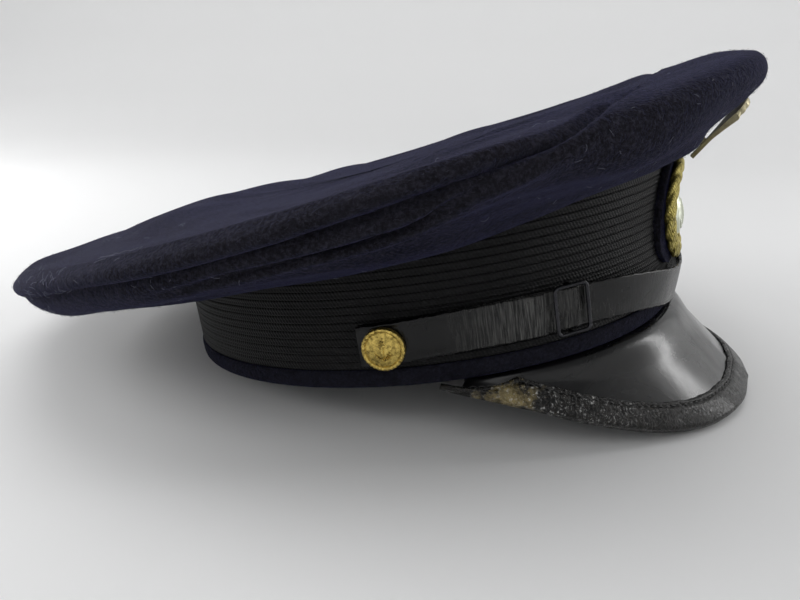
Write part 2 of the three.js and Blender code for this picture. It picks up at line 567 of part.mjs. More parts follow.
// Shell: a thin fan plate with ribs that thicken to its rounded edge, on a short post from
// the crown.
const shellReach = (k) => SHELL.reach * (1 - SHELL.fall * k * k);
const shellRim = spread(SHELL.ribs * 2, -1, 1).map((k) => {
  const a = rad(SHELL.spread * k);
  return [Math.sin(a) * shellReach(k), Math.cos(a) * shellReach(k)];
});
const shellFoot = [
  [SHELL.ear, SHELL.footHigh], [SHELL.ear, SHELL.footLow], [-SHELL.ear, SHELL.footLow], [-SHELL.ear, SHELL.footHigh]];
const fanOutline = new THREE.Shape([...shellRim, ...shellFoot].map(([x, y]) => new THREE.Vector2(x, y)));
const fan = new THREE.ExtrudeGeometry(fanOutline, { depth: SHELL.thick, bevelEnabled: false });
const shellRibs = spread(SHELL.ribs - 1, -1, 1).map((k) => {
  const length = shellReach(k) - SHELL.ribShort;
  const rib = new THREE.CylinderGeometry(SHELL.ribEnd, SHELL.ribStart, length, 6)
    .translate(0, length / 2 + SHELL.ribFrom, 0)
    .rotateZ(-rad(SHELL.spread * k * SHELL.ribFan))
    .translate(0, 0, SHELL.thick - SHELL.ribSunk);
  // The back of the ribs stays flush with the plate.
  const p = rib.attributes.position;
  for (let i = 0; i < p.count; i += 1) p.setZ(i, Math.max(p.getZ(i), SHELL.flush));
  return rib;
});
const post = new THREE.CylinderGeometry(SHELL.post, SHELL.post, SHELL.postLength + SHELL.postSunk, 8)
  .rotateX(Math.PI / 2)
  .translate(0, SHELL.postAt, (SHELL.postSunk - SHELL.postLength) / 2);
const lean = rad(SHELL.lean);
const shellFrame = new THREE.Matrix4().makeBasis(
  new THREE.Vector3(0, 1, 0),
  new THREE.Vector3(Math.sin(lean), 0, Math.cos(lean)),
  new THREE.Vector3(Math.cos(lean), 0, -Math.sin(lean)),
).setPosition(SHELL.x, 0, SHELL.h);
piece('badge_shell', joined([fan, ...shellRibs, post]).applyMatrix4(shellFrame), 'tarnish');

const group = new THREE.Group();
tilt.rotation.y = -LEAN;
tilt.position.set(REST.x, 0, REST.z);
group.add(tilt);

export default group;
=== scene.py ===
# %% [markdown]
# # A naval officer's cap, dressed over its frame
#
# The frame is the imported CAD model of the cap: eighteen solids in one shared space, in metres,
# with Z up and the cap standing on the ground as it does in the photograph. This file keeps
# every solid's place and gives each one a finer surface and a real finish.

# %% Load the frame
import math
import random

import bmesh
import bpy
import numpy as np
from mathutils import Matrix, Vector


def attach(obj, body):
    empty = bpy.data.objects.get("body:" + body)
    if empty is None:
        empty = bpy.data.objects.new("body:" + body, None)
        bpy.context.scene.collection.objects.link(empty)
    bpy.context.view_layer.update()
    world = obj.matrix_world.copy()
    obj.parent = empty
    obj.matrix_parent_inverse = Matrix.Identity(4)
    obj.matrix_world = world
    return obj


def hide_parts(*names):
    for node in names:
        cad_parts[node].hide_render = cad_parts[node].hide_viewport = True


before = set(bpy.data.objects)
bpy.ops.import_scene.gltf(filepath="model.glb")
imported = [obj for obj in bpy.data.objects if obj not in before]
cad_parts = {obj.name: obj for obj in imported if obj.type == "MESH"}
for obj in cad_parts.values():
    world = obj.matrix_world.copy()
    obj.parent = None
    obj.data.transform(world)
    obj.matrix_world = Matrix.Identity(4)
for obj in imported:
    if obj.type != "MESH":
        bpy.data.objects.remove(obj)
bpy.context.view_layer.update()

# %% [markdown]
# ## The cap's own measures
#
# All sizes are in millimetres, in the cap's own upright frame: x goes forward over the peak,
# y to the wearer's left and h up from the lower edge of the band. The cap leans back a
# little on the ground, so one function turns such a point into the scene's metres.

# %% The cap's frame and its lean
LEAN = math.radians(9.7)
REST_X, REST_Z = 21.68, 15.76     # where the middle of the band's lower edge comes to lie
MM = 0.001
SIDES = ((-1, "right"), (1, "left"))


def to_scene(points):
    """Turns millimetre points of the upright cap into metres in the leaning scene."""
    x, y, h = np.moveaxis(np.asarray(points, dtype=float), -1, 0)
    c, s = math.cos(LEAN), math.sin(LEAN)
    return np.stack([REST_X + x * c - h * s, y, REST_Z + x * s + h * c], axis=-1) * MM


print("the front of the band's lower edge is at", to_scene([93.2, 0, 0]).round(4))

# %% [markdown]
# ## Curves through a few measured points
#
# A cap maker works from a handful of measures and lets the cloth run smoothly between them.
# The functions here do the same: a table gives a measure at some angles from the front, and
# a smooth curve fills in the rest.

# %% Reading measures smoothly


def curve_between(f, start, stop, slope_start, slope_stop):
    """A smooth curve from start to stop at the part f of the way, with its slopes at both."""
    return (
        (2 * f**3 - 3 * f**2 + 1) * start
        + (f**3 - 2 * f**2 + f) * slope_start
        + (3 * f**2 - 2 * f**3) * stop
        + (f**3 - f**2) * slope_stop
    )


def slopes(t, values):
    """Slopes of a smooth curve through values at the places t."""
    gap = np.diff(t)[:, None]
    rise = np.diff(values, axis=0) / gap
    inner = (rise[:-1] * gap[1:] + rise[1:] * gap[:-1]) / (gap[:-1] + gap[1:])
    return np.vstack([rise[:1], inner, rise[-1:]])


def smooth_line(points, at):
    """Points on a smooth curve through points; at counts from 0, one for each point."""
    points = np.asarray(points, dtype=float)
    steps = np.linalg.norm(np.diff(points, axis=0), axis=1)
    t = np.concatenate([[0.0], np.cumsum(np.maximum(steps, 1e-4))])
    m = slopes(t, points)
    at = np.clip(np.asarray(at, dtype=float), 0, len(points) - 1)
    i = np.minimum(at.astype(int), len(points) - 2)
    f, span = (at - i)[:, None], (t[i + 1] - t[i])[:, None]
    return curve_between(f, points[i], points[i + 1], span * m[i], span * m[i + 1])


def along(table, column, degrees):
    """Reads a table whose first column is an angle from the front, smoothly."""
    a = min(abs(degrees), 180)
    i = 0
    while i < len(table) - 2 and table[i + 1][0] < a:
        i += 1

    def row(k):
        return table[min(max(k, 0), len(table) - 1)]

    span = row(i + 1)[0] - row(i)[0]
    t = min(max((a - row(i)[0]) / span, 0), 1)

    def slope(k):
        gap = row(k + 1)[0] - row(k - 1)[0]
        return (row(k + 1)[column] - row(k - 1)[column]) / gap if gap > 0 else 0

    return curve_between(
        t, row(i)[column], row(i + 1)[column], slope(i) * span, slope(i + 1) * span)


def ripple(at, waves):
    """A little waviness; each wave has a size in millimetres, a pace and a start."""
    return sum(size * math.sin(pace * at + start) for size, pace, start in waves)


def round_cap(front, side, rear, turn):
    """A measure that is known at the front, the sides and the rear."""
    c = math.cos(turn)
    return side + (front - rear) / 2 * c + ((front + rear) / 2 - side) * c * c


BAND = {"front": 93.2, "rear": 93.2, "side": 83.2, "flare": 2.6, "top": 50.0, "bottom": 1.5}


def beside(turn, out, h):
    """A point `out` from the crest of the band's ribs, at height h."""
    c, s = math.cos(turn), math.sin(turn)
    a = (BAND["front"] if c > 0 else BAND["rear"]) + (
        BAND["flare"] * c * c * h / BAND["top"] if c > 0 else 0)
    b = BAND["side"]
    away = Vector((c / a, s / b)).normalized()
    return np.array([a * c + away.x * out, b * s + away.y * out, h])


print("the band is", BAND["front"] + BAND["rear"], "mm long and", 2 * BAND["side"], "mm wide")

# %% [markdown]
# ## Making pieces
#
# Nearly every piece of a cap is a strip or a sheet that has been bent. In Blender that is a
# flat grid whose points are moved onto measured lines, as a sheet is laid over a form. The
# grid keeps a map of its own length and width in metres, so that a weave can follow it.

# %% Helpers that make a bent sheet


def sheet_over(lines, around=False, across=False):
    """A grid laid over measured lines; it may close around the cap, and across each line."""
    lines = np.asarray(lines, dtype=float)
    if around:
        lines = np.concatenate([lines, lines[:1]])
    if across:
        lines = np.concatenate([lines, lines[:, :1]], axis=1)
    count, wide = lines.shape[:2]
    middle = lines.mean(axis=1)
    run = np.concatenate([[0], np.cumsum(np.linalg.norm(np.diff(middle, axis=0), axis=1))])
    girth = np.linalg.norm(np.diff(lines, axis=1), axis=2).mean(axis=0)
    girth = np.concatenate([[0], np.cumsum(girth)])
    bm = bmesh.new()
    bmesh.ops.create_grid(bm, x_segments=count - 1, y_segments=wide - 1, size=1)
    spots = to_scene(lines)
    uv = bm.loops.layers.uv.new("cloth")
    for k, vert in enumerate(bm.verts):
        vert.co = spots[k % count, k // count]
    for face in bm.faces:
        for loop in face.loops:
            k = loop.vert.index
            loop[uv].uv = (run[k % count] * MM, girth[k // count] * MM)
    bmesh.ops.remove_doubles(bm, verts=bm.verts, dist=1e-6)
    return bm


def close_ends(bm):
    """Closes the open ends of a strip."""
    bmesh.ops.holes_fill(bm, edges=[e for e in bm.edges if e.is_boundary], sides=0)


def faces_out(bm):
    """Turns the faces of a closed body outwards."""
    bmesh.ops.remove_doubles(bm, verts=bm.verts, dist=1e-6)
    bmesh.ops.recalc_face_normals(bm, faces=bm.faces)


def to_mesh(name, bm):
    """Turns a bmesh into a mesh and frees it."""
    mesh = bpy.data.meshes.new(name)
    bm.to_mesh(mesh)
    bm.free()
    return mesh


def add_to(bm, made):
    """Adds one bmesh to another."""
    mesh = to_mesh("part", made)
    bm.from_mesh(mesh)
    bpy.data.meshes.remove(mesh)


def show(name, data):
    """Puts a mesh, a lamp or a camera into the scene as an object."""
    made = bpy.data.objects.new(name, data)
    bpy.context.scene.collection.objects.link(made)
    return made


def finish_piece(name, bm, replaces=(), sharp=50, wall=0.0):
    """Makes an object of a bmesh: smooth but for sharp edges, with a wall if it is a sheet."""
    for face in bm.faces:
        face.smooth = True
    for edge in bm.edges:
        if len(edge.link_faces) == 2 and edge.calc_face_angle(0) > math.radians(sharp):
            edge.smooth = False
    piece = show(name, to_mesh(name, bm))
    if wall:
        thick = piece.modifiers.new("wall", "SOLIDIFY")
        thick.thickness = wall * MM
        thick.offset = -1
        thick.use_even_offset = False
    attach(piece, "root")
    if replaces:
        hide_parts(*replaces)
    print(name, "has", len(piece.data.polygons), "faces")
    return piece


def lay(name, lines, middle, replaces, sharp, wall, around=False):
    """Makes a piece of an open sheet over lines; its faces look away from a middle point."""
    bm = sheet_over(lines, around=around)
    centre = Vector(to_scene(middle))
    bm.normal_update()
    looks = sum((f.calc_center_median() - centre).dot(f.normal) * f.calc_area() for f in bm.faces)
    if looks < 0:
        bmesh.ops.reverse_faces(bm, faces=bm.faces)
    return finish_piece(name, bm, replaces, sharp, wall)


# %% [markdown]
# ## The crown's cloth
#
# The crown is melton: a heavy navy wool, woven, then shrunk and brushed until the weave is
# hidden. It is cut as an oval top and a side that are sewn together at the rolled edge, and
# the side hangs over the top of the band. It has been worn for years, so it sags in long
# folds between the front, which a stay holds up, and the low back. A cloth simulation would
# make folds of its own. These ones are known, so the sheet is laid over measured lines and
# each fold is pressed in, as a sculptor would.

# %% Measured lines of the crown
CROWN_ROWS = [
    # name, front, rear, side, height in front, at the side, at the rear
    ("top_sag", 30.0, -74.0, 38.0, 66.8, 57.0, 53.4),
    ("top_inner", 52.1, -95.5, 72.0, 71.2, 57.9, 54.5),
    ("top_middle", 93.6, -118.0, 88.0, 77.5, 58.5, 48.8),
    ("top_ridge", 112.4, -139.0, 105.5, 80.9, 59.6, 44.2),
    ("top_trough", 119.7, -148.0, 114.0, 82.1, 59.2, 43.0),
    ("top_outer", 124.3, -154.0, 119.0, 82.8, 60.0, 42.0),
    ("edge_upper", 128.1, -159.6, 123.3, 80.8, 58.2, 40.6),
    ("edge", 128.9, -163.0, 125.4, 76.8, 54.5, 37.2),
    ("edge_lower", 127.5, -162.0, 124.0, 72.7, 50.3, 33.4),
    ("fold_1", 124.2, -158.4, 120.5, 70.9, 47.5, 29.9),
    ("bulge_1", 120.0, -153.0, 118.0, 67.4, 45.2, 26.6),
    ("fold_2", 115.9, -145.7, 111.0, 63.9, 43.6, 24.4),
    ("bulge_2", 111.8, -134.6, 105.0, 60.7, 42.0, 23.2),
]
CROWN_MIDDLE = (-15.5, 0, 57.9)
LEFT_SAG = [(0, 0), (28, -3.0), (60, 0.4), (80, 1.0), (100, 2.2), (130, 2.2), (180, 0)]
LEFT_SAG_PART = {"top_sag": 0, "top_inner": 0, "top_middle": 0, "top_ridge": 0.7}
SIDE_FOLDS = [
    # row, turn, half run, press
    ("top_trough", -62, 34, 1.4),
    ("fold_1", -76, 36, 1.3),
    ("fold_2", -72, 30, 1.3),
    ("bulge_1", -74, 30, -0.7),
    ("bulge_2", -70, 30, -0.7),
]
DROOP = [(0, 0), (20, 0.9), (38, 2.2), (50, 5.0), (64, 8.8), (76, 10.9), (90, 13.3), (108, 15.0),
         (125, 17.4), (142, 22.0), (180, 24.0)]
DROOP_ROWS = [
    # out from the band at front, side, rear, then up from the hanging line
    (10.5, 15.0, 27.0, 6.2, 3.6, -2.6),
    (7.6, 8.0, 12.0, 3.8, 1.0, -2.4),
    (5.2, 3.4, 4.6, 2.6, 0.2, -0.8),
    (3.2, 0.9, 0.9, 1.7, 2.4, 2.6),
]


def crown_line(turn):
    """The crown's measured points at one turn, from the middle of the top to the seam."""
    degrees = math.degrees(turn)
    c, s = math.cos(turn), math.sin(turn)
    line = [CROWN_MIDDLE]
    for name, front, rear, side, h_front, h_side, h_rear in CROWN_ROWS:
        press = 0
        for at, middle, run, depth in SIDE_FOLDS:
            away = ((degrees - middle) % 360 + 540) % 360 - 180
            if at == name and abs(away) < run:
                press += depth * math.cos(away / run * math.pi / 2) ** 2
        on_top = name.startswith("top")
        inward = 1 if on_top else 1 - press / side
        sag = along(LEFT_SAG, 1, degrees) * LEFT_SAG_PART.get(name, 1) if turn > 0 else 0
        line.append((
            (front + rear) / 2 + (front - rear) / 2 * c * inward,
            side * s * inward,
            round_cap(h_front, h_side, h_rear, turn) - (press if on_top else 0) - sag,
        ))
    hang = BAND["top"] - along(DROOP, 1, degrees)
    for out_front, out_side, out_rear, up_front, up_side, up_rear in DROOP_ROWS:
        out = round_cap(out_front, out_side, out_rear, turn)
        line.append(beside(turn, out, hang + round_cap(up_front, up_side, up_rear, turn)))
    line.append(beside(turn, 0.6, BAND["top"] - 0.1))
    line.append(beside(turn, -1.4, BAND["top"] + 0.4))
    return line


TURNS = 288
# How many steps the sheet takes between one measured row and the next
ROW_STEPS = [5, 4, 9, 9, 6, 5, 5, 5, 5, 6, 6, 6, 6, 6, 5, 3, 3, 3, 1]
ROW_AT = np.concatenate(
    [i + np.arange(n) / n for i, n in enumerate(ROW_STEPS)] + [[len(ROW_STEPS)]])
TURN_AT = np.arange(TURNS) / TURNS * 2 * math.pi - math.pi
CROWN = np.array([smooth_line(crown_line(t), ROW_AT) for t in TURN_AT])
print("the crown's sheet has", CROWN.shape[0], "lines of", CROWN.shape[1], "points")

# %% [markdown]
# ### Folds and seams in the crown
#
# Each fold is a line on the cloth: at some turns from the front, how far down the measured
# rows it lies, and how deep it is there. The cloth goes in along the line and swells a
# little on both sides. The seam at the edge stands out instead, because the raw edges of
# both pieces are turned in behind it. In front the cloth is slack and the edge is one round
# swell. The other side has much the same folds.

# %% Press the folds in
FOLDS = [
    # each: width in mm, then (turn, row, depth) along it; a depth below 0 is a swelling
    (2.2, [(-150, 8.8, 0.0), (-128, 9.1, 1.6), (-104, 9.0, 3.2), (-80, 9.0, 4.2), (-68, 8.5, 4.4),
           (-60, 8.0, 4.4), (-56, 7.5, 4.2), (-51, 6.7, 3.8), (-46, 5.4, 3.6), (-41, 4.2, 3.4),
           (-30, 3.4, 2.8), (-17, 2.9, 1.8), (-4, 2.6, 0.0)]),
    (2.0, [(-100, 9.9, 0.0), (-88, 10.1, 2.0), (-81, 10.6, 3.0), (-74, 10.6, 3.4),
           (-67, 9.9, 3.4), (-60, 9.0, 3.0), (-55, 8.4, 2.0), (-51, 7.9, 0.0)]),
    (3.6, [(-62, 1.5, 0.0), (-52, 1.6, 2.2), (-42, 2.1, 3.0), (-25, 2.2, 2.6), (-8, 2.4, 0.0)]),
    (2.2, [(172, 8.4, 0.0), (140, 8.7, 1.6), (110, 8.9, 2.8), (80, 8.8, 3.2), (58, 8.0, 2.8),
           (45, 5.8, 1.6), (32, 3.8, 0.9), (18, 3.2, 0.0)]),
    (2.2, [(130, 10.6, 0.0), (110, 10.8, 1.6), (85, 10.6, 2.6), (66, 9.6, 2.0), (52, 8.6, 0.0)]),
    (13.0, [(92, 2.2, 0.0), (112, 2.1, 1.8), (135, 1.9, 1.5), (160, 1.8, 0.8), (176, 1.7, 0.0)]),
    (10.0, [(-46, 7.0, 0.0), (-26, 7.2, -0.9), (0, 7.4, -1.3), (26, 7.2, -0.8), (46, 7.0, 0.0)]),
    (7.0, [(-16, 12.4, 0.0), (-6, 12.6, 2.8), (6, 12.6, 2.8), (16, 12.4, 0.0)]),
    (8.0, [(-56, 11.4, 0.0), (-40, 11.2, -1.6), (-22, 10.8, -1.6), (-6, 10.4, 0.0)]),
    (9.0, [(64, 6.3, 0.0), (50, 6.3, 1.3), (34, 6.3, 2.4), (16, 6.3, 1.4), (2, 6.3, 0.0)]),
    (6.0, [(-140, 11.6, 0.0), (-126, 11.8, -1.5), (-112, 11.8, -1.6), (-100, 11.6, -0.8),
           (-90, 11.6, 0.0)]),
]
SWELL = 0.3          # how much the cloth beside a fold stands out, as a part of its depth
NARROW = 5           # a fold that is narrower than this, in mm, has swellings beside it
SWELL_RADIUS = 9.5   # how round the edge is in front, where the cloth is slack
FRONT_TURNS = [-66, -50, -20, 10, 40]
FRONT_SOFT = [0, 1, 1, 0.5, 0]       # how much of the edge is rounded at those turns
FRONT_SEAM = [1, 0, 0, 0.6, 1]       # how much of the seam is left there
SOFT_ROWS, SOFT_PART = [3, 5, 10, 13], [0, 1, 1, 0]
MIDDLE_RING, MIDDLE_ROWS = (0.5, 1.5), [0.3, 1.1]
SEAM_ROW, SEAM_OUT, SEAM_WIDTH = 6.5, 0.5, 1.3
WAVES = 26
SLACK_ROWS, SLACK_PART = [0, 1.5, 3, 6.5, 10, 14, 16], [0.3, 0.3, 0.9, 0.35, 1, 0.8, 0]


def cloth_normals(grid):
    """Directions away from the crown at each point of its sheet."""
    ahead = np.roll(grid, -1, axis=0) - np.roll(grid, 1, axis=0)
    down = np.gradient(grid, axis=1)
    n = np.cross(ahead, down)
    n[:, 0] = (0, 0, 1)
    n /= np.maximum(np.linalg.norm(n, axis=2, keepdims=True), 1e-9)
    if n[0, 20, 2] < 0:
        n = -n
        n[:, 0] = (0, 0, 1)
    return n


def across_cloth(grid):
    """How far each point is from the middle of the top, measured over the cloth."""
    steps = np.linalg.norm(np.diff(grid, axis=1), axis=2)
    return np.concatenate([np.zeros((len(grid), 1)), np.cumsum(steps, axis=1)], axis=1)


def round_middle(grid):
    """Lays one smooth dished surface over the middle of the top, where all its lines meet."""
    def terms(points):
        x, y = points[..., 0] / 30, points[..., 1] / 30     # both about 1 at the rows it fits
        return np.stack([np.ones_like(x), x, y, x * x, x * y, y * y], axis=-1)

    low, high = MIDDLE_RING
    ring = grid[:, (ROW_AT > low) & (ROW_AT < high)].reshape(-1, 3)
    shape = np.linalg.lstsq(terms(ring), ring[:, 2], rcond=None)[0]
    smoothed = grid.copy()
    part = np.interp(ROW_AT, MIDDLE_ROWS, [1, 0])
    smoothed[..., 2] += (terms(grid) @ shape - grid[..., 2]) * part
    return smoothed


def soften_front(grid):
    """Turns the sewn edge into one round swell in front, where the cloth is slack."""
    reach = across_cloth(grid)
    part = np.interp(np.degrees(TURN_AT), FRONT_TURNS, FRONT_SOFT)
    near = np.interp(ROW_AT, SOFT_ROWS, SOFT_PART)
    softened = grid.copy()
    for i in np.nonzero(part)[0]:
        apart = (reach[i][:, None] - reach[i][None, :]) / SWELL_RADIUS
        weights = np.exp(-apart**2) * np.gradient(reach[i])[None, :]
        weights /= weights.sum(axis=1, keepdims=True)
        softened[i] += (weights @ grid[i] - grid[i]) * (near * part[i])[:, None]
    return softened


def press_folds(grid):
    """The crown's sheet with its folds pressed in and its edge seam raised."""
    reach = across_cloth(grid)
    rise = np.zeros(grid.shape[:2])
    degrees = np.degrees(TURN_AT)
    for width, marks in FOLDS:
        marks = sorted(marks)
        turns = [m[0] for m in marks]
        rows = np.interp(degrees, turns, [m[1] for m in marks])
        depths = np.interp(degrees, turns, [m[2] for m in marks], left=0, right=0)
        for i in np.nonzero(depths)[0]:
            from_fold = reach[i] - np.interp(rows[i], ROW_AT, reach[i])
            rise[i] -= depths[i] * np.exp(-(from_fold / width) ** 2)
            for side in (-1, 1) if depths[i] > 0 and width < NARROW else ():
                beside_fold = (from_fold - side * 2.4 * width) / (1.6 * width)
                rise[i] += SWELL * depths[i] * np.exp(-beside_fold ** 2)
    for i in range(len(grid)):
        from_seam = reach[i] - np.interp(SEAM_ROW, ROW_AT, reach[i])
        seam_out = SEAM_OUT * np.interp(degrees[i], FRONT_TURNS, FRONT_SEAM)
        rise[i] += seam_out * np.exp(-(from_seam / SEAM_WIDTH) ** 2)
    return grid + cloth_normals(grid) * rise[..., None]


def slack(grid):
    """Slow waves in the cloth, strongest between the seams that hold it."""
    waves = random.Random(7)
    reach = across_cloth(grid)
    held = np.interp(ROW_AT, SLACK_ROWS, SLACK_PART)
    rise = np.zeros(grid.shape[:2])
    for _ in range(WAVES):
        around = waves.randint(2, 15)
        along_line = waves.uniform(14, 60)
        phase, tilt = waves.uniform(0, 6.28), waves.uniform(-1, 1)
        size = waves.uniform(0.1, 0.3)
        rise += size * np.sin(around * TURN_AT[:, None] + tilt * reach / along_line * 6.28 + phase)
    return grid + cloth_normals(grid) * (rise * held)[..., None]


CROWN = press_folds(slack(soften_front(round_middle(CROWN))))
print("the crown is", np.ptp(CROWN[..., 0]).round(1), "mm long and",
      np.ptp(CROWN[..., 1]).round(1), "mm wide")

# %% Lay the cloth
crown = lay("crown_cloth", CROWN, (-15, 0, 40),
            ["crown_top", "crown_side_right", "crown_side_left"], sharp=80, wall=1.4, around=True)

# %% [markdown]
# ## The ribbed band
#
# Officers' caps carry a band of black mohair braid: seventeen ribs side by side, each a pair
# of round cords wrapped in a shiny thread. The cords are real in the mesh, and the wrapped
# thread is left to the finish. A strip with a ribbed edge line goes once round the head.

# %% Weave the band
RIB_COUNT, RIB_FROM, RIB_DEEP = 17, 6.3, 0.48
RIB_POINTS = 10


def rib_line(turn):
    """The ribbed outside of the band at one turn, from bottom to top."""
    pitch = (BAND["top"] - RIB_FROM) / RIB_COUNT
    line = [beside(turn, -1.0, BAND["bottom"]), beside(turn, -1.0, RIB_FROM - 0.3)]
    for rib in range(RIB_COUNT):
        for k in range(RIB_POINTS):
            part = k / RIB_POINTS
            # Each rib is a pair of cords, with a shallow groove between the two.
            groove = 0.4 + 0.6 * abs(math.cos(math.pi * part))
            out = RIB_DEEP * groove * (abs(math.sin(2 * math.pi * part)) ** 0.7 - 1)
            line.append(beside(turn, out, RIB_FROM + pitch * (rib + part)))
    line.append(beside(turn, -RIB_DEEP, BAND["top"]))
    return line


BAND_TURNS = 240
band_at = np.arange(BAND_TURNS) / BAND_TURNS * 2 * math.pi - math.pi
band = lay("ribbed_band", [rib_line(t) for t in band_at], (0, 0, 25), ["band"],
           sharp=100, wall=1.4, around=True)

# %% [markdown]
# ## The folded edge
#
# The lower edge of the band is bound in the same navy wool, folded under it. It is a strip
# bent into a U, with softly rounded corners.

# %% Fold the edge
EDGE_OUT, EDGE_IN, EDGE_TOP = 0.3, -3.7, 6.0
EDGE_WAVES = [(0.15, 9, 0), (0.1, 23, 1)]


def edge_line(turn):
    """The folded edge from its outer lip, under the band, to its inner lip."""
    wave = ripple(turn, EDGE_WAVES)
    points = [
        (EDGE_OUT - 0.7, EDGE_TOP), (EDGE_OUT - 0.15, EDGE_TOP - 0.2 + wave),
        (EDGE_OUT + 0.15 + wave * 0.3, 3.4), (EDGE_OUT, 1.0), (EDGE_OUT - 0.5, 0.25),
        (EDGE_OUT - 1.4, 0.0), (EDGE_IN + 1.4, 0.0), (EDGE_IN + 0.4, 0.3), (EDGE_IN, 1.2),
        (EDGE_IN, 3.4), (EDGE_IN, EDGE_TOP),
    ]
    return smooth_line([beside(turn, out, h) for out, h in points], np.arange(0, 10.01, 0.5))


edge = lay("folded_edge", [edge_line(t) for t in band_at], (0, 0, 60),
           ["rim_binding"], sharp=80, wall=0.9, around=True)

# %% [markdown]
# ## The peak
#
# The peak is patent leather on a stiff board: lacquered until it shines like glass, pressed
# into a shallow curve and sewn under the band. Its outline is measured, and the sheet runs
# from the seam to the rim. A thick wall makes the board.

# %% Press the peak
PEAK = {"thickness": 2.2, "gap": 0.3, "tucked": -3.2, "leaves": 0.7, "turn": 67, "bulge": -0.014}
PEAK_EDGE = [
    # turn, forward, aside, drop
    (0, 118.4, 0.0, 31.4),
    (15, 115.5, 20.8, 31.5),
    (30, 105.8, 40.4, 30.2),
    (45, 90.0, 56.6, 24.8),
    (60, 70.2, 69.1, 15.7),
    (75, 47.3, 77.2, 5.2),
    (82, 36.3, 80.2, 1.2),
]
PEAK_STEPS = 150


def peak_points(s):
    """The measured points of the peak's top from the seam to the rim; s goes from -1 to 1."""
    turn = math.radians(PEAK["turn"] * s)
    degrees = PEAK_EDGE[-1][0] * abs(s)
    rim = np.array([
        along(PEAK_EDGE, 1, degrees), math.copysign(1, s) * along(PEAK_EDGE, 2, degrees),
        -along(PEAK_EDGE, 3, degrees)])
    root = beside(turn, PEAK["leaves"], -PEAK["gap"])
    line = [beside(turn, PEAK["tucked"], -PEAK["gap"]), root]
    for v in (1 / 3, 2 / 3):
        p = root + (rim - root) * v
        p[2] += math.sin(v * math.pi) * np.linalg.norm(rim - root) * PEAK["bulge"]
        line.append(p)
    line.append(rim)
    return np.array(line)


peak_at = np.linspace(-1, 1, PEAK_STEPS + 1)
PEAK_ACROSS = np.concatenate([[0, 0.5], np.linspace(1, 4, 19)])
peak = lay("peak_patent", [smooth_line(peak_points(s), PEAK_ACROSS) for s in peak_at],
           (60, 0, -120), ["peak"], sharp=60, wall=2.1)

# %% [markdown]
# ### The peak's binding
#
# A strip of leather is folded round the rim of the peak and stitched through along its inner
# edge. Years of handling have cracked it. Its section is a rounded U that stands proud of
# the rim, swept along the same measured line, and the stitches lie in a groove. Towards each
# end it gets thinner and runs on a little past the peak.

# %% Fold the binding
BINDING = {"width": 9.0, "leaf": 1.0, "gap": 0.36, "clear": 1.3, "nose": 0.9, "low_nose": 1.5,
           "groove": 1.9, "taper_from": 0.84, "thin": 0.86, "taper": 1.6, "spread": 1.5,
           "tail": 6.0, "rise": 0.15}
BINDING_WEAR = [(0.12, 61, 0), (0.1, 143, 2)]


def peak_frames(s):
    """At s: the rim's point, its directions out and up, the peak's depth, and along the rim."""
    step = 0.01
    line = peak_points(s)
    a, b = peak_points(max(s - step, -1)), peak_points(min(s + step, 1))
    up = np.cross(line[-1] - line[-2], b[-1] - a[-1])
    up *= math.copysign(1, up[2]) / np.linalg.norm(up)
    out = line[-1] - line[-2]
    length = np.linalg.norm(line[-1] - line[1])
    ahead = (b[-1] - a[-1]) * math.copysign(1, s)
    return line[-1], out / np.linalg.norm(out), up, length, ahead / np.linalg.norm(ahead)


def binding_line(s):
    """The binding's outer face at s, from its stitched edge over the rim to the underside."""
    rim, out, up, length, ahead = peak_frames(s)
    width = min(BINDING["width"], length - BINDING["clear"])
    top = BINDING["gap"] + BINDING["leaf"]
    low = PEAK["thickness"] + top
    nose, low_nose = BINDING["nose"], BINDING["low_nose"]
    wear = ripple(s, BINDING_WEAR)
    taper = max(0, (abs(s) - BINDING["taper_from"]) / (1 - BINDING["taper_from"]))
    slim = 1 - BINDING["thin"] * taper**BINDING["taper"]
    marks = [
        (-width + wear, 0.35), (-width + 0.5 + wear, top - 0.25), (-width + 1.3, top - 0.05),
        (-width + BINDING["groove"], top - 0.35), (-width + 2.5, top - 0.02),
        (-width * 0.45, top + 0.1 + wear * 0.4),
        (-0.9, top - 0.05), (nose - 0.35, top - 0.3), (nose + 0.35, top - 1.0),
        (nose + 0.5, -PEAK["thickness"] / 2), (low_nose, -low + 1.0), (low_nose - 0.6, -low + 0.25),
        (-1.0, -low), (-width, -low),
    ]
    start = rim + out * taper * BINDING["spread"] + ahead * taper**2 * BINDING["tail"]
    thick = BINDING["rise"] + (1 - BINDING["rise"]) * slim
    points = [start + out * o * slim + up * u * thick for o, u in marks]
    return smooth_line(points, np.arange(0, len(marks) - 0.99, 1 / 3))


binding = lay("peak_edging", [binding_line(s) for s in peak_at], (70, 0, -15),
              ["peak_binding"], sharp=80, wall=0.85)

# %% [markdown]
# ### Stitches
#
# One stitch is a short thread that dives at both ends. Each is a thin tube round five
# points, and they follow one another along the binding's groove at the real spacing.

# %% Sew the binding
STITCH_SPACE, STITCH_LONG, THREAD, THREAD_SIDES = 2.6, 1.9, 0.24, 5
STITCH_RISE = [-0.3, 0.05, 0.12, 0.05, -0.3]     # how high a stitch lies along its length
SEWN_TO, SEAM_SINK = 0.985, 0.22                 # the part of the peak sewn, and the groove


def tube(points, ahead, face, thick, sides):
    """Rings of points round a line of points; face is any direction across the line."""
    ahead = ahead / np.linalg.norm(ahead, axis=1, keepdims=True)
    side = np.cross(ahead, face)
    side /= np.linalg.norm(side, axis=1, keepdims=True)
    over = np.cross(side, ahead)
    turn = np.arange(sides) / sides * 2 * math.pi
    return [[p + (a * math.cos(t) + b * math.sin(t)) * thick for t in turn]
            for p, a, b in zip(points, side, over)]


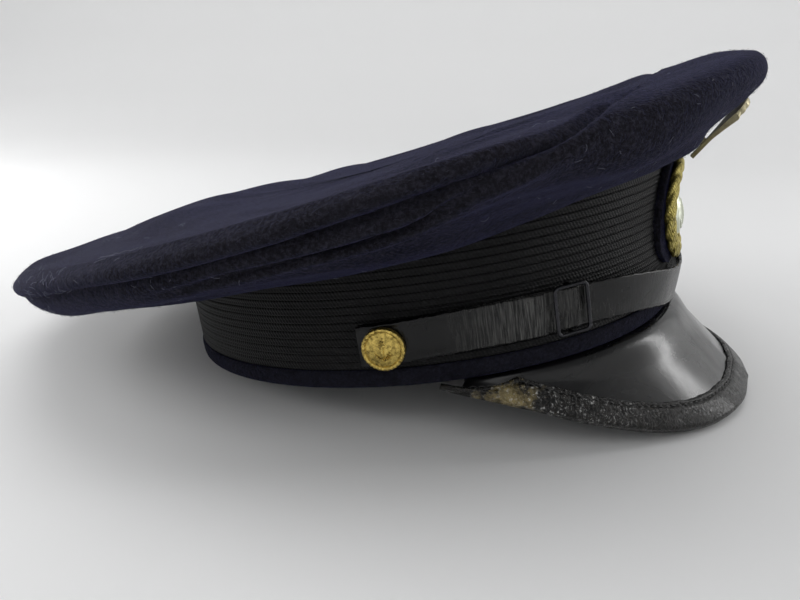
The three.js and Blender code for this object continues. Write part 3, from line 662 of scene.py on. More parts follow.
def skin(bm, rings):
    """Joins rings of points one after another into a body with closed ends."""
    made = []
    for ring in rings:
        verts = bmesh.ops.create_circle(bm, segments=len(ring), radius=1)["verts"]
        for vert, place in zip(verts, ring):
            vert.co = place
        made.append(verts)
    for first, second in zip(made, made[1:]):
        edges = {e for verts in (first, second) for v in verts for e in v.link_edges
                 if e.other_vert(v) in verts}
        bmesh.ops.bridge_loops(bm, edges=list(edges))
    for verts in (made[0], made[-1]):
        bmesh.ops.contextual_create(bm, geom=verts)


seam = []
for s in np.linspace(-SEWN_TO, SEWN_TO, 1200):
    rim, out, up, length, ahead = peak_frames(s)
    width = min(BINDING["width"], length - BINDING["clear"])
    seam.append(rim + out * (-width + BINDING["groove"])
                + up * (BINDING["gap"] + BINDING["leaf"] - SEAM_SINK))
seam = np.array(seam)
walked = np.concatenate([[0], np.cumsum(np.linalg.norm(np.diff(seam, axis=0), axis=1))])
bm = bmesh.new()
for k in range(int(walked[-1] / STITCH_SPACE)):
    at = (k + 0.5) * STITCH_SPACE + np.linspace(-0.5, 0.5, 5) * STITCH_LONG
    spots = np.stack([np.interp(at, walked, seam[:, i]) for i in range(3)], axis=1)
    spots[:, 2] += STITCH_RISE
    rings = tube(spots, np.gradient(spots, axis=0), (0.13, 0.21, 0.97), THREAD, THREAD_SIDES)
    skin(bm, [to_scene(ring) for ring in rings])
faces_out(bm)
sewing = finish_piece("peak_stitches", bm)

# %% [markdown]
# ## The chin strap
#
# The strap is a narrow band of patent leather across the front, held by the two side
# buttons. A doubled end comes back under each wire slide. A rounded section is swept along
# the measured line, and it climbs over the slide's bar.

# %% Lay the strap
STRAP = {"width": 13.0, "thickness": 1.4, "end": 85.4, "bead": 0.35}
STRAP_WAVES = [(0.16, 1.7, 0), (0.12, 4.1, 1)]
STRAP_LINE = [
    # turn, height, how far its lower and upper edges stand off the ribs
    (0, 7.2, 1.0, 3.9), (12, 9.4, 1.1, 3.9), (21, 12.4, 1.3, 3.5), (30, 14.8, 1.4, 2.8),
    (42, 16.5, 1.2, 1.8), (50, 16.8, 1.0, 1.2), (60, 16.9, 0.8, 0.8), (70, 16.4, 0.7, 0.7),
    (80, 15.3, 0.7, 0.7), (90, 14.5, 0.7, 0.7),
]
SLIDE = {"turn": 45.2, "length": 12.6, "height": 16.2, "wire": 1.3, "gap": 0.3,
         "off": 0.5, "slack": 0.1, "hump": 0.9, "crest": 0.9, "foot": 2.6}


def strap_hump(degrees):
    """How far the strap is lifted by the slide's bar behind it."""
    off = abs(abs(degrees) - SLIDE["turn"])
    t = (SLIDE["foot"] - off) / (SLIDE["foot"] - SLIDE["crest"])
    t = min(1, max(0, t))
    return (3 * t * t - 2 * t**3) * SLIDE["hump"]


def strap_section(degrees, low):
    """A rounded strip across the strap at one turn; `low` is how far its back stands off."""
    thick, bead = STRAP["thickness"], STRAP["bead"]
    middle = along(STRAP_LINE, 1, degrees)
    edges = [
        along(STRAP_LINE, column, degrees) + low + strap_hump(degrees) for column in (2, 3)]
    # Half of its face, from the lower corner to the middle, with a groove beside its edge
    half = [(-0.5, bead), (-0.5, thick - bead), (-0.475, thick - 0.08), (-0.44, thick),
            (-0.41, thick - 0.16), (-0.37, thick - 0.03), (-0.18, thick + 0.04)]
    loop = half + [(0, thick + 0.06)] + [(-part, off) for part, off in half[::-1]]
    width = STRAP["width"] + ripple(degrees, STRAP_WAVES)
    line = []
    for part, off in loop + [(0.46, 0), (0, 0), (-0.46, 0)]:
        out = edges[0] + (edges[1] - edges[0]) * (part + 0.5) + off
        line.append(beside(math.radians(degrees), out, middle + part * width))
    return line


def strap_piece(name, replaces, start, stop, low, steps):
    """One length of strap from one turn to another."""
    lines = []
    for d in np.linspace(start, stop, steps + 1):
        lines.append(strap_section(d, low))
    made = sheet_over(lines, across=True)
    close_ends(made)
    faces_out(made)
    return finish_piece(name, made, replaces, sharp=70)


strap = strap_piece("chin_strap_patent", ["chin_strap"], -STRAP["end"], STRAP["end"], 0.0, 320)
END_FROM, END_LOW = 50.6, STRAP["thickness"] + 0.25
strap_pieces = [strap]
for side, word in SIDES:
    strap_pieces.append(strap_piece(
        "doubled_end_" + word, ["strap_end_" + word], side * END_FROM, side * STRAP["end"],
        END_LOW, 70))

# %% [markdown]
# ### The wire slides
#
# Each slide is a small frame of dark, rounded wire with a bar across behind the strap. A
# rounded rectangle of wire is swept, then the bar is joined to it.

# %% Bend the slides
WIRE_SIDES = 10


def facing(degrees, out, h):
    """A frame in the scene whose z looks away from the band, with y up the cap."""
    turn = math.radians(degrees)
    away = beside(turn, 1, 20) - beside(turn, 0, 20)
    away /= np.linalg.norm(away)
    up = np.array([0, 0, 1.0])
    across = np.cross(up, away)
    base = beside(turn, out, h)
    return lambda x, y, z: base + across * x + up * y + away * z


def wire_loop(bm, points, thick, closed=True):
    """Sweeps a round wire along points, in millimetres of the upright cap."""
    points = np.asarray(points, dtype=float)
    ahead = (np.roll(points, -1, axis=0) - np.roll(points, 1, axis=0)) if closed \
        else np.gradient(points, axis=0)
    middle = points.mean(axis=0)
    face = np.cross(points[0] - middle, points[len(points) // 4] - middle)
    made = sheet_over(tube(points, ahead, face, thick, WIRE_SIDES), around=closed, across=True)
    if not closed:
        close_ends(made)
    add_to(bm, made)


def rounded_box(width, height, corner, steps=6):
    """Points round a rectangle with rounded corners."""
    points = []
    for cx, cy, start in ((1, 1, 0), (-1, 1, 90), (-1, -1, 180), (1, -1, 270)):
        for k in range(steps + 1):
            a = math.radians(start + 90 * k / steps)
            points.append((cx * (width / 2 - corner) + corner * math.cos(a),
                           cy * (height / 2 - corner) + corner * math.sin(a)))
    return points


for side, word in SIDES:
    wire = SLIDE["wire"] / 2
    at = facing(side * SLIDE["turn"], 0, along(STRAP_LINE, 1, SLIDE["turn"]))
    face = along(STRAP_LINE, 3, SLIDE["turn"]) + STRAP["thickness"]
    front = face + SLIDE["gap"] + wire + SLIDE["off"]
    back = (along(STRAP_LINE, 2, SLIDE["turn"]) + SLIDE["hump"] - SLIDE["gap"] - wire
            + SLIDE["slack"])
    bm = bmesh.new()
    frame_line = rounded_box(SLIDE["length"] - 2 * wire, SLIDE["height"] - 2 * wire, 1.5)
    wire_loop(bm, [at(x, y, front) for x, y in frame_line], wire * 0.95)
    tall = SLIDE["height"] / 2 - wire
    bar = [(tall, front), (tall, back + 0.4), (tall - 0.4, back), (0, back), (-tall + 0.4, back),
           (-tall, back + 0.4), (-tall, front)]
    bar_line = smooth_line([at(0, y, z) for y, z in bar], np.arange(0, 6.01, 0.25))
    wire_loop(bm, bar_line, wire * 0.9, closed=False)
    faces_out(bm)
    finish_piece("wire_slide_" + word, bm, ["slide_" + word], sharp=60)

# %% [markdown]
# ## The side buttons
#
# Each strap end is held by a gilt button stamped from thin brass: a low dome inside a roped
# rim, with a plain anchor raised on it. The dome is a profile spun round its axis, and the
# rope is a ring of two twisted strands. The anchor is worn, so its bars are low and broad.

# %% Stamp the buttons
BUTTON = {"turn": 80.5, "height": 14.6, "radius": 6.75, "base": 1.2, "dome": 2.2, "gap": 0.3,
          "rope": 0.68, "rope_in": 0.72, "rope_up": 0.55, "bar": 1.3, "bar_end": 2.4}
ROPE_SWELL, ROPE_LOW = 0.24, 0.12     # how much a strand swells, and how low its groove is
ANCHOR = [
    # each a bar: from, to, thickness at both ends
    ((0, -2.7), (0, 2.0), 0.36, 0.3),
    ((-1.25, 1.55), (1.25, 1.55), 0.26, 0.26),
]


def placed(bm, at):
    """Moves a bmesh made in millimetres at the origin onto a frame of the cap."""
    for vert in bm.verts:
        vert.co = to_scene(at(*vert.co))


def spun(bm, profile, steps):
    """Spins a profile of (radius, height) round the vertical axis."""
    verts = [bm.verts.new((r, 0, z)) for r, z in profile]
    edges = [bm.edges.new(pair) for pair in zip(verts, verts[1:])]
    bmesh.ops.spin(bm, geom=verts + edges, cent=(0, 0, 0), axis=(0, 0, 1),
                   angle=2 * math.pi, steps=steps, use_merge=True)
    bmesh.ops.remove_doubles(bm, verts=bm.verts, dist=1e-4)


def raised_bar(bm, start, stop, thick, end_thick, lift, count=8, sides=8):
    """A small rounded bar that lies on a face at height lift(x, y)."""
    start, stop = Vector(start), Vector(stop)
    side = (stop - start).normalized().orthogonal()
    rings = []
    for t in (k / count for k in range(count + 1)):
        p = start.lerp(stop, t)
        r = thick + (end_thick - thick) * t
        r *= math.sqrt(max(1 - (2 * t - 1) ** 10, 0.05))
        ring = []
        for a in (2 * math.pi * j / sides for j in range(sides)):
            q = p + side * math.cos(a) * r
            ring.append((q.x, q.y, lift(q.x, q.y) + math.sin(a) * r * 0.9))
        rings.append(ring)
    skin(bm, rings)


def anchor_bars(size):
    """The bars of a plain anchor: shank, stock, two curved arms with points, and ring."""
    arms = [(math.sin(a) * 2.3, -0.55 - math.cos(a) * 2.25) for a in np.linspace(-1.25, 1.25, 9)]
    ring = [(math.sin(a) * 0.5, 2.45 + math.cos(a) * 0.5) for a in np.linspace(0, 6.283, 9)]
    bars = [*ANCHOR, *((p, q, 0.33, 0.33) for p, q in zip(arms, arms[1:]))]
    bars += [((end * 2.2, -1.25), (end * 2.55, -0.5), 0.42, 0.08) for end in (-1, 1)]
    bars += [(p, q, 0.17, 0.17) for p, q in zip(ring, ring[1:])]
    return [(Vector(p) * size, Vector(q) * size, t * size, u * size) for p, q, t, u in bars]


def rope_ring(bm, half_width, half_height, thick, height, flat, strands, turns,
              across=18, around=160):
    """A ring of twisted strands, made by swelling a torus along each strand."""
    t = 2 * math.pi * np.arange(around)[:, None] / around
    a = 2 * math.pi * np.arange(across) / across
    r = thick * (1 - ROPE_LOW + ROPE_SWELL * abs(np.cos((strands * a + turns * t) / 2)))
    spots = np.stack([
        (half_width + r * np.cos(a)) * np.cos(t), (half_height + r * np.cos(a)) * np.sin(t),
        height + r * np.sin(a) * flat], axis=-1)
    made = bmesh.new()
    bmesh.ops.create_grid(made, x_segments=around, y_segments=across, size=1)
    for k, vert in enumerate(made.verts):
        vert.co = spots[k % (around + 1) % around, k // (around + 1) % across]
    bmesh.ops.remove_doubles(made, verts=made.verts, dist=1e-5)
    add_to(bm, made)


def button_face(x, y):
    """Height of the button's dome."""
    r = min(math.hypot(x, y) / BUTTON["radius"], 1)
    return BUTTON["base"] + BUTTON["dome"] * (1 - r * r) ** 0.8


for side, word in SIDES:
    r, base = BUTTON["radius"], BUTTON["base"]
    bm = bmesh.new()
    dome = [(r * t, base + BUTTON["dome"] * (1 - t * t) ** 0.8) for t in np.linspace(0.84, 0, 12)]
    spun(bm, [(0, 0), (r - 1, 0), (r - 0.2, 0.15), (r, 0.6), (r - 0.1, base + 0.25),
              (r - 0.9, base + 0.5)] + dome, 64)
    rope_ring(bm, r - BUTTON["rope_in"], r - BUTTON["rope_in"], BUTTON["rope"],
              base + BUTTON["rope_up"], flat=1.0, strands=2, turns=30)
    for a, b, t, u in anchor_bars(1.0):
        raised_bar(bm, a, b, t * BUTTON["bar"], u * BUTTON["bar_end"], button_face)
    stand = (STRAP["thickness"] + END_LOW + along(STRAP_LINE, 2, BUTTON["turn"])
             + BUTTON["gap"])
    placed(bm, facing(side * BUTTON["turn"], stand, BUTTON["height"]))
    faces_out(bm)
    finish_piece("gilt_button_" + word, bm, ["button_" + word], sharp=60)

# %% [markdown]
# ## The badge
#
# The badge stands on a pad of navy felt: an oval ring of gold cord, a silvered boss with a
# plain anchor, and above them a plate in the shape of a scallop shell, on a short post. It
# is a plain design of this part's own. The pad is cut with its edge left raw.

# %% Cut the felt pad
BADGE = {"width": 44.0, "low": 15.6, "high": 49.6, "felt": 1.1, "gap": 0.4, "lean": 1.2,
         "tuck": 51.2, "tuck_half": 10, "tuck_in": 0.9}
FELT_OUTLINE = [
    # part of the height, part of the half width
    (0, 0.42), (0.08, 0.74), (0.25, 0.96), (0.45, 1.0), (0.7, 0.9), (0.88, 0.72), (1, 0.5),
]


def badge_lean(h):
    """How far the badge stands off the band at height h."""
    return BADGE["lean"] * (h - BADGE["low"]) / (BADGE["high"] - BADGE["low"])


def on_badge(x, y, z):
    """A point x across the badge, at height y, z out from the band."""
    turn = math.asin(max(-1, min(1, x / BAND["side"])))
    return beside(turn, z + badge_lean(y), y)


FELT_OUT = BADGE["gap"] + BADGE["felt"]
FELT_ACROSS, FELT_RAGGED = np.linspace(-1, 1, 37), [(0.25, 41, 0), (0.2, 97, 1)]
lines = []
for part, wide in smooth_line(FELT_OUTLINE, np.arange(0, 6.01, 0.2)):
    h = BADGE["low"] + (BADGE["high"] - BADGE["low"]) * part
    half = wide * BADGE["width"] / 2 + ripple(part, FELT_RAGGED)
    lines.append([on_badge(k * half, h, FELT_OUT) for k in FELT_ACROSS])
# The pad's top goes on a little, up behind the cloth.
lines.append([on_badge(k * BADGE["tuck_half"], BADGE["tuck"], FELT_OUT - BADGE["tuck_in"])
              for k in FELT_ACROSS])
felt = lay("badge_felt", lines, (-100, 0, 30), ["badge_backing"], sharp=80,
           wall=2.4)

# %% Lay the gold ring
RING = {"height": 33.2, "half_width": 16.2, "half_height": 14.5, "thick": 2.9, "flat": 0.56,
        "up": 0.47 * 1.13, "sink": 0.3}
SEAT = FELT_OUT + BADGE["gap"]
bm = bmesh.new()
rope_ring(bm, RING["half_width"], RING["half_height"], RING["thick"],
          SEAT + RING["thick"] * RING["up"] - RING["sink"], RING["flat"], strands=3, turns=15,
          across=36, around=240)
placed(bm, lambda x, y, z: on_badge(x, y + RING["height"], z))
faces_out(bm)
finish_piece("gold_ring", bm, ["badge_ring"], sharp=80)

# %% Press the boss
BOSS = {"height": 30.2, "half_width": 7.6, "half_height": 8.4, "edge": 1.1, "dome": 1.9,
        "anchor": 1.75, "anchor_up": 0.6, "bar": 0.8}


def boss_face(x, y):
    """Height of the boss above its seat."""
    r = min(math.hypot(x / BOSS["half_width"], y / BOSS["half_height"]), 1)
    return BOSS["edge"] + BOSS["dome"] * (1 - r * r)


BOSS_RIM = [(0, 0), (0.97, 0), (1, 0.2), (1, 0.95), (0.97, 1.3), (0.92, 1.55), (0.86, 1.6),
            (0.81, 1.4), (0.78, 1.45)]
dome = [(t, BOSS["edge"] + BOSS["dome"] * (1 - t * t)) for t in np.linspace(0.74, 0, 10)]
bm = bmesh.new()
spun(bm, BOSS_RIM + dome, 64)
bmesh.ops.scale(bm, vec=(BOSS["half_width"], BOSS["half_height"], 1), verts=bm.verts)
up = Vector((0, BOSS["anchor_up"]))
for a, b, t, u in anchor_bars(BOSS["anchor"]):
    raised_bar(bm, a + up, b + up, t * BOSS["bar"], u * BOSS["bar"], boss_face)
placed(bm, lambda x, y, z: on_badge(x, y + BOSS["height"], z + SEAT))
faces_out(bm)
finish_piece("silver_boss", bm, ["badge_boss"], sharp=60)

# %% [markdown]
# ### The scallop shell
#
# The plate is cast: a narrow stalk at its foot, then a fan that gets thicker towards its
# rounded edge, with ribs that spread out from the stalk. A grid over the fan is raised along
# each rib, and a plain post holds it off the crown.

# %% Cast the shell
SHELL = {"x": 103.4, "h": 50.4, "lean": 47.0, "thick": 1.3, "stalk": 8.5, "reach": 17.2,
         "spread": 42, "fall": 0.10, "ear": 1.9, "ribs": 7, "post": 1.4, "post_at": 6.5,
         "post_long": 1.0, "post_in": 0.6, "post_sides": 14}


def on_shell(x, y, z):
    """A point of the shell's own frame: x across, y up its length, z out of its face."""
    a = math.radians(SHELL["lean"])
    return np.array([
        SHELL["x"] + y * math.sin(a) + z * math.cos(a), x,
        SHELL["h"] + y * math.cos(a) - z * math.sin(a)])


def shell_line(k, face):
    """A line up the shell's face or back; k goes from -1 to 1 across the fan."""
    a = math.radians(SHELL["spread"] * k)
    reach = SHELL["reach"] * (1 - SHELL["fall"] * k * k)
    line = []
    for y in np.linspace(0.4, SHELL["stalk"], 8)[:-1]:
        line.append(on_shell(SHELL["ear"] * k, y, SHELL["thick"] if face else 0))
    for t in np.linspace(0, 1, 26):
        x = SHELL["ear"] * k * (1 - t) ** 2 + math.sin(a) * reach * t
        y = SHELL["stalk"] + math.cos(a) * reach * t
        rib = abs(math.cos(math.pi * (SHELL["ribs"] - 1) / 2 * k))
        swell = 0.3 + 1.1 * t ** 1.3
        ends = math.sqrt(max(1 - ((t - 0.9) / 0.1) ** 2, 0)) if t > 0.9 else 1
        z = (SHELL["thick"] - 0.3 + rib * swell * ends) if face else 0.15 * (1 - ends)
        line.append(on_shell(x, y, z))
    return line


across = np.linspace(-1, 1, 97)
top, back = [shell_line(k, True) for k in across], [shell_line(k, False) for k in across]
bm = sheet_over([a + b[::-1] for a, b in zip(top, back)], across=True)
close_ends(bm)
made = bmesh.ops.create_cone(
    bm, cap_ends=True, segments=SHELL["post_sides"], radius1=SHELL["post"],
    radius2=SHELL["post"], depth=SHELL["post_long"] + SHELL["post_in"])["verts"]
for vert in made:
    x, y, z = vert.co
    z += (SHELL["post_in"] - SHELL["post_long"]) / 2
    vert.co = to_scene(on_shell(x, y + SHELL["post_at"], z))
faces_out(bm)
finish_piece("scallop_plate", bm, ["badge_shell"], sharp=50)

# %% [markdown]
# ## Nap and lint
#
# Brushed wool is never quite smooth: short fibres stand up all over it, and a worn cap has
# picked up pale lint. Each fibre is drawn as a thin curve with four points, and then all of
# them are turned into one mesh.

# %% Brush the cloth up
NAP, LINT = 6500, 130


def fibres(name, count, seed, thick, lengths, lie, tufts=()):
    """Short curved fibres that grow from the crown's sheet, and tufts of them in places."""
    pick = random.Random(seed)
    normals = cloth_normals(CROWN)
    curve = bpy.data.curves.new(name, "CURVE")
    curve.dimensions = "3D"
    curve.bevel_depth = thick * MM
    curve.bevel_resolution = 0
    curve.use_fill_caps = True
    last_row = int(np.searchsorted(ROW_AT, 16))
    roots = []
    for _ in range(count):
        roots.append((pick.randrange(TURNS),
                      int(math.sqrt(pick.uniform(0.02, 1)) * last_row)))
    for turn, row, spread, number in tufts:
        for _ in range(number):
            i = np.searchsorted(TURN_AT, math.radians(turn + pick.gauss(0, spread)))
            j = np.searchsorted(ROW_AT, row + pick.gauss(0, spread * 0.16))
            roots.append((int(i) % TURNS, int(min(j, last_row))))
    for i, j in roots:
        p, n = CROWN[i, j], normals[i, j]
        side = np.cross(n, [pick.gauss(0, 1) for _ in range(3)])
        side /= np.linalg.norm(side)
        length = pick.uniform(*lengths)
        bend = pick.uniform(0.2, 1.0)
        curl = np.cross(n, side) * pick.uniform(-0.7, 0.7)
        spline = curve.splines.new("POLY")
        spline.points.add(3)
        for k, point in enumerate(spline.points):
            t = k / 3
            away = n * (lie * math.sin(math.pi * t * bend) * length + 0.02)
            q = to_scene(p + away + side * length * t + curl * length * t * t)
            point.co = (*q, 1)
    strands = bpy.data.objects.new(name + "_lines", curve)
    piece = show(name, bpy.data.meshes.new_from_object(strands))
    bpy.data.objects.remove(strands)
    bpy.data.curves.remove(curve)
    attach(piece, "root")
    print(name, "has", len(roots), "fibres and", len(piece.data.polygons), "faces")
    return piece


LINT_TUFTS = [
    # turn, row, spread in degrees, number of fibres
    (-118, 8.0, 3.5, 46), (-103, 6.0, 2.5, 14), (-124, 10.0, 2.0, 10), (-150, 3.2, 0.8, 5),
    (-120, 2.2, 0.6, 5), (-45, 9.0, 4.0, 5), (-30, 7.0, 5.0, 4), (-96, 9.0, 2.0, 10),
]
nap = fibres("wool_nap", NAP, 11, 0.026, (0.5, 1.4), 0.32)
lint = fibres("pale_lint", LINT, 12, 0.035, (0.8, 3.0), 0.22, LINT_TUFTS)

# %% [markdown]
# ## Finishes
#
# Every finish starts from what the real thing is made of. Colours are read off as sRGB and
# turned to the linear values Blender mixes in. One small function adds a node with its
# settings and its links, and the finishes are built from that alone.

# %% Helpers for finishes


def hex_colour(text):
    """Turns an sRGB hex colour into linear values."""
    parts = [int(text[i:i + 2], 16) / 255 for i in (1, 3, 5)]
    linear = [c / 12.92 if c <= 0.04045 else ((c + 0.055) / 1.055) ** 2.4 for c in parts]
    return (*linear, 1.0)


def add_node(material, kind, settings=(), links=(), **properties):
    """Adds a node, sets its properties and inputs, and links its inputs from other nodes."""
    made = material.node_tree.nodes.new(kind)
    for key, value in properties.items():
        setattr(made, key, value)
    for key, value in dict(settings).items():
        made.inputs[key].default_value = hex_colour(value) if isinstance(value, str) else value
    for key, source in dict(links).items():
        material.node_tree.links.new(source, made.inputs[key])
    return made


def new_finish(name, **values):
    """A material with its shader and output, and values set on the shader's own sockets."""
    material = bpy.data.materials.new(name)
    material.use_nodes = True
    material.node_tree.nodes.clear()
    settings = {key.replace("_", " "): value for key, value in values.items()}
    shader = add_node(material, "ShaderNodeBsdfPrincipled", settings)
    add_node(material, "ShaderNodeOutputMaterial", links={"Surface": shader.outputs[0]})
    return material, shader


def join_up(material, source, shader, socket):
    """Feeds a node's output into the shader."""
    material.node_tree.links.new(source, shader.inputs[socket])


print("navy in linear values:", [round(v, 4) for v in hex_colour("#1d1c33")[:3]])

# %% [markdown]
# ### Navy melton
#
# Fulled wool scatters light at its surface, so it looks paler where it is seen edge on: that
# is the sheen. Up close it is a felt of fibres much thinner than the picture can show. They
# are drawn here as grains of about a millimetre, each broken into finer ones, with darker
# tufts of two to three millimetres and paler patches where the cloth is worn.

# %% Navy wool
# How many grains, tufts and patches fit in a metre: 1, 2.4 and 45 mm for each
FELT_GRAINS, FELT_TUFTS, WORN_PATCHES = 950, 420, 22


def melton(name, dark, light, sheen):
    """Fulled and brushed wool in two close shades."""
    wool, shader = new_finish(
        name, Roughness=0.95, Sheen_Weight=sheen, Sheen_Roughness=0.32,
        Sheen_Tint="#8084d4", Specular_IOR_Level=0.08)
    spot = add_node(wool, "ShaderNodeTexCoord").outputs["Object"]
    felt_noise = add_node(wool, "ShaderNodeTexNoise",
                          {"Scale": FELT_GRAINS, "Detail": 4, "Roughness": 0.75}, {"Vector": spot})
    tufts = add_node(wool, "ShaderNodeTexNoise",
                     {"Scale": FELT_TUFTS, "Detail": 4, "Roughness": 0.7, "Distortion": 0.8},
                     {"Vector": spot})
    patches = add_node(wool, "ShaderNodeTexNoise", {"Scale": WORN_PATCHES, "Detail": 3},
                       {"Vector": spot})
    grain = add_node(wool, "ShaderNodeMapRange",
                     {"From Min": 0.42, "From Max": 0.62}, {"Value": felt_noise.outputs[0]})
    shade = add_node(wool, "ShaderNodeMix", {6: dark, 7: light}, {0: grain.outputs[0]},
                     data_type="RGBA")
    wear = add_node(wool, "ShaderNodeMapRange",
                    {"From Min": 0.35, "From Max": 0.7, "To Min": 0.0, "To Max": 0.45},
                    {"Value": patches.outputs[0]})
    worn = add_node(wool, "ShaderNodeMix", {7: light}, {0: wear.outputs[0], 6: shade.outputs[2]},
                    data_type="RGBA")
    tuft_dark = add_node(wool, "ShaderNodeMapRange",
                         {"From Min": 0.36, "From Max": 0.6, "To Min": 0.5, "To Max": 0.0},
                         {"Value": tufts.outputs[0]})
    tufted = add_node(wool, "ShaderNodeMix", {7: dark},
                      {0: tuft_dark.outputs[0], 6: worn.outputs[2]}, data_type="RGBA")
    join_up(wool, tufted.outputs[2], shader, "Base Color")
    fine = add_node(wool, "ShaderNodeBump", {"Strength": 0.9, "Distance": 0.0005},
                    {"Height": felt_noise.outputs[0]})
    rough = add_node(wool, "ShaderNodeBump", {"Strength": 0.8, "Distance": 0.0008},
                     {"Height": tufts.outputs[0], "Normal": fine.outputs[0]})
    join_up(wool, rough.outputs[0], shader, "Normal")
    return wool


navy = melton("navy melton, fulled and brushed", "#070708", "#2c2b34", 0.17)
for piece in (crown, felt):
    piece.data.materials.append(navy)
# The folded edge gets a darker copy of the same navy wool with less sheen: painted shade.
edge.data.materials.append(
    melton("navy melton, folded and rubbed", "#0a0a0e", "#22222c", 0.1))
# A fibre that stands up catches a little more light than the cloth; lint is undyed and pale.
nap.data.materials.append(new_finish("navy wool fibre", Base_Color="#30303f", Roughness=0.9)[0])
lint.data.materials.append(new_finish("undyed lint", Base_Color="#747688", Roughness=0.9)[0])
print("the cloth has a grain every", round(1 / FELT_GRAINS / MM, 2), "mm")

# %% [markdown]
# ### Mohair braid
#
# The cords of each rib are wrapped in a smooth black thread, so they have small slanting
# dents along them and a soft shine. The real wraps are finer than the picture can show, so
# they are drawn 1.2 millimetres apart. The pattern follows the band's own map.

# %% Black mohair
mohair, shader = new_finish(
    "black mohair braid, woven over cords", Roughness=0.6, Sheen_Weight=0.03,
    Sheen_Roughness=0.5, Specular_IOR_Level=0.18)
uv = add_node(mohair, "ShaderNodeTexCoord").outputs["UV"]
split = add_node(mohair, "ShaderNodeSeparateXYZ", links={0: uv})
WRAP_SPACE = 1.2                      # millimetres from one wrap of the thread to the next
slant = add_node(mohair, "ShaderNodeMath", {1: 0.5}, {0: split.outputs[1]}, operation="MULTIPLY")
shifted = add_node(mohair, "ShaderNodeMath", links={0: split.outputs[0], 1: slant.outputs[0]},
                   operation="ADD")
angle = add_node(mohair, "ShaderNodeMath", {1: 2 * math.pi / (WRAP_SPACE * MM)},
                 {0: shifted.outputs[0]}, operation="MULTIPLY")
wraps = add_node(mohair, "ShaderNodeMath", links={0: angle.outputs[0]}, operation="SINE")
spot = add_node(mohair, "ShaderNodeTexCoord").outputs["Object"]
fuzz = add_node(mohair, "ShaderNodeTexNoise", {"Scale": 1400, "Detail": 4}, {"Vector": spot})
# Painted shade and light: the dents between the thread's wraps are coloured darker, the crests
# lighter.
tint = add_node(mohair, "ShaderNodeMapRange", {"From Min": -1, "From Max": 1},
                {"Value": wraps.outputs[0]})
black = add_node(mohair, "ShaderNodeMix", {6: "#030303", 7: "#0f0f11"}, {0: tint.outputs[0]},
                 data_type="RGBA")
join_up(mohair, black.outputs[2], shader, "Base Color")
wrap_bump = add_node(mohair, "ShaderNodeBump", {"Strength": 0.45, "Distance": 0.0002},
                     {"Height": wraps.outputs[0]})
fuzz_bump = add_node(mohair, "ShaderNodeBump", {"Strength": 0.4, "Distance": 0.00015},
                     {"Height": fuzz.outputs[0], "Normal": wrap_bump.outputs[0]})
join_up(mohair, fuzz_bump.outputs[0], shader, "Normal")
band.data.materials.append(mohair)
print("the thread's wraps are drawn", WRAP_SPACE, "mm apart")

# %% [markdown]
# ### Patent leather
#
# Patent leather is hide under coats of black lacquer. The lacquer is glossy, with a faint
# ripple like the skin of an orange, smears, and dust. On the strap it has cracked into short
# lines across the strap; pale streaks where it goes into the right slide are a painted highlight.

# %% Black lacquered hide
# Where the strap's painted highlight lies: pale streaks in its colour stand in for a sheen of
# light.
SHEEN_PLACE = to_scene(beside(math.radians(-54), 3.0, 16.0))


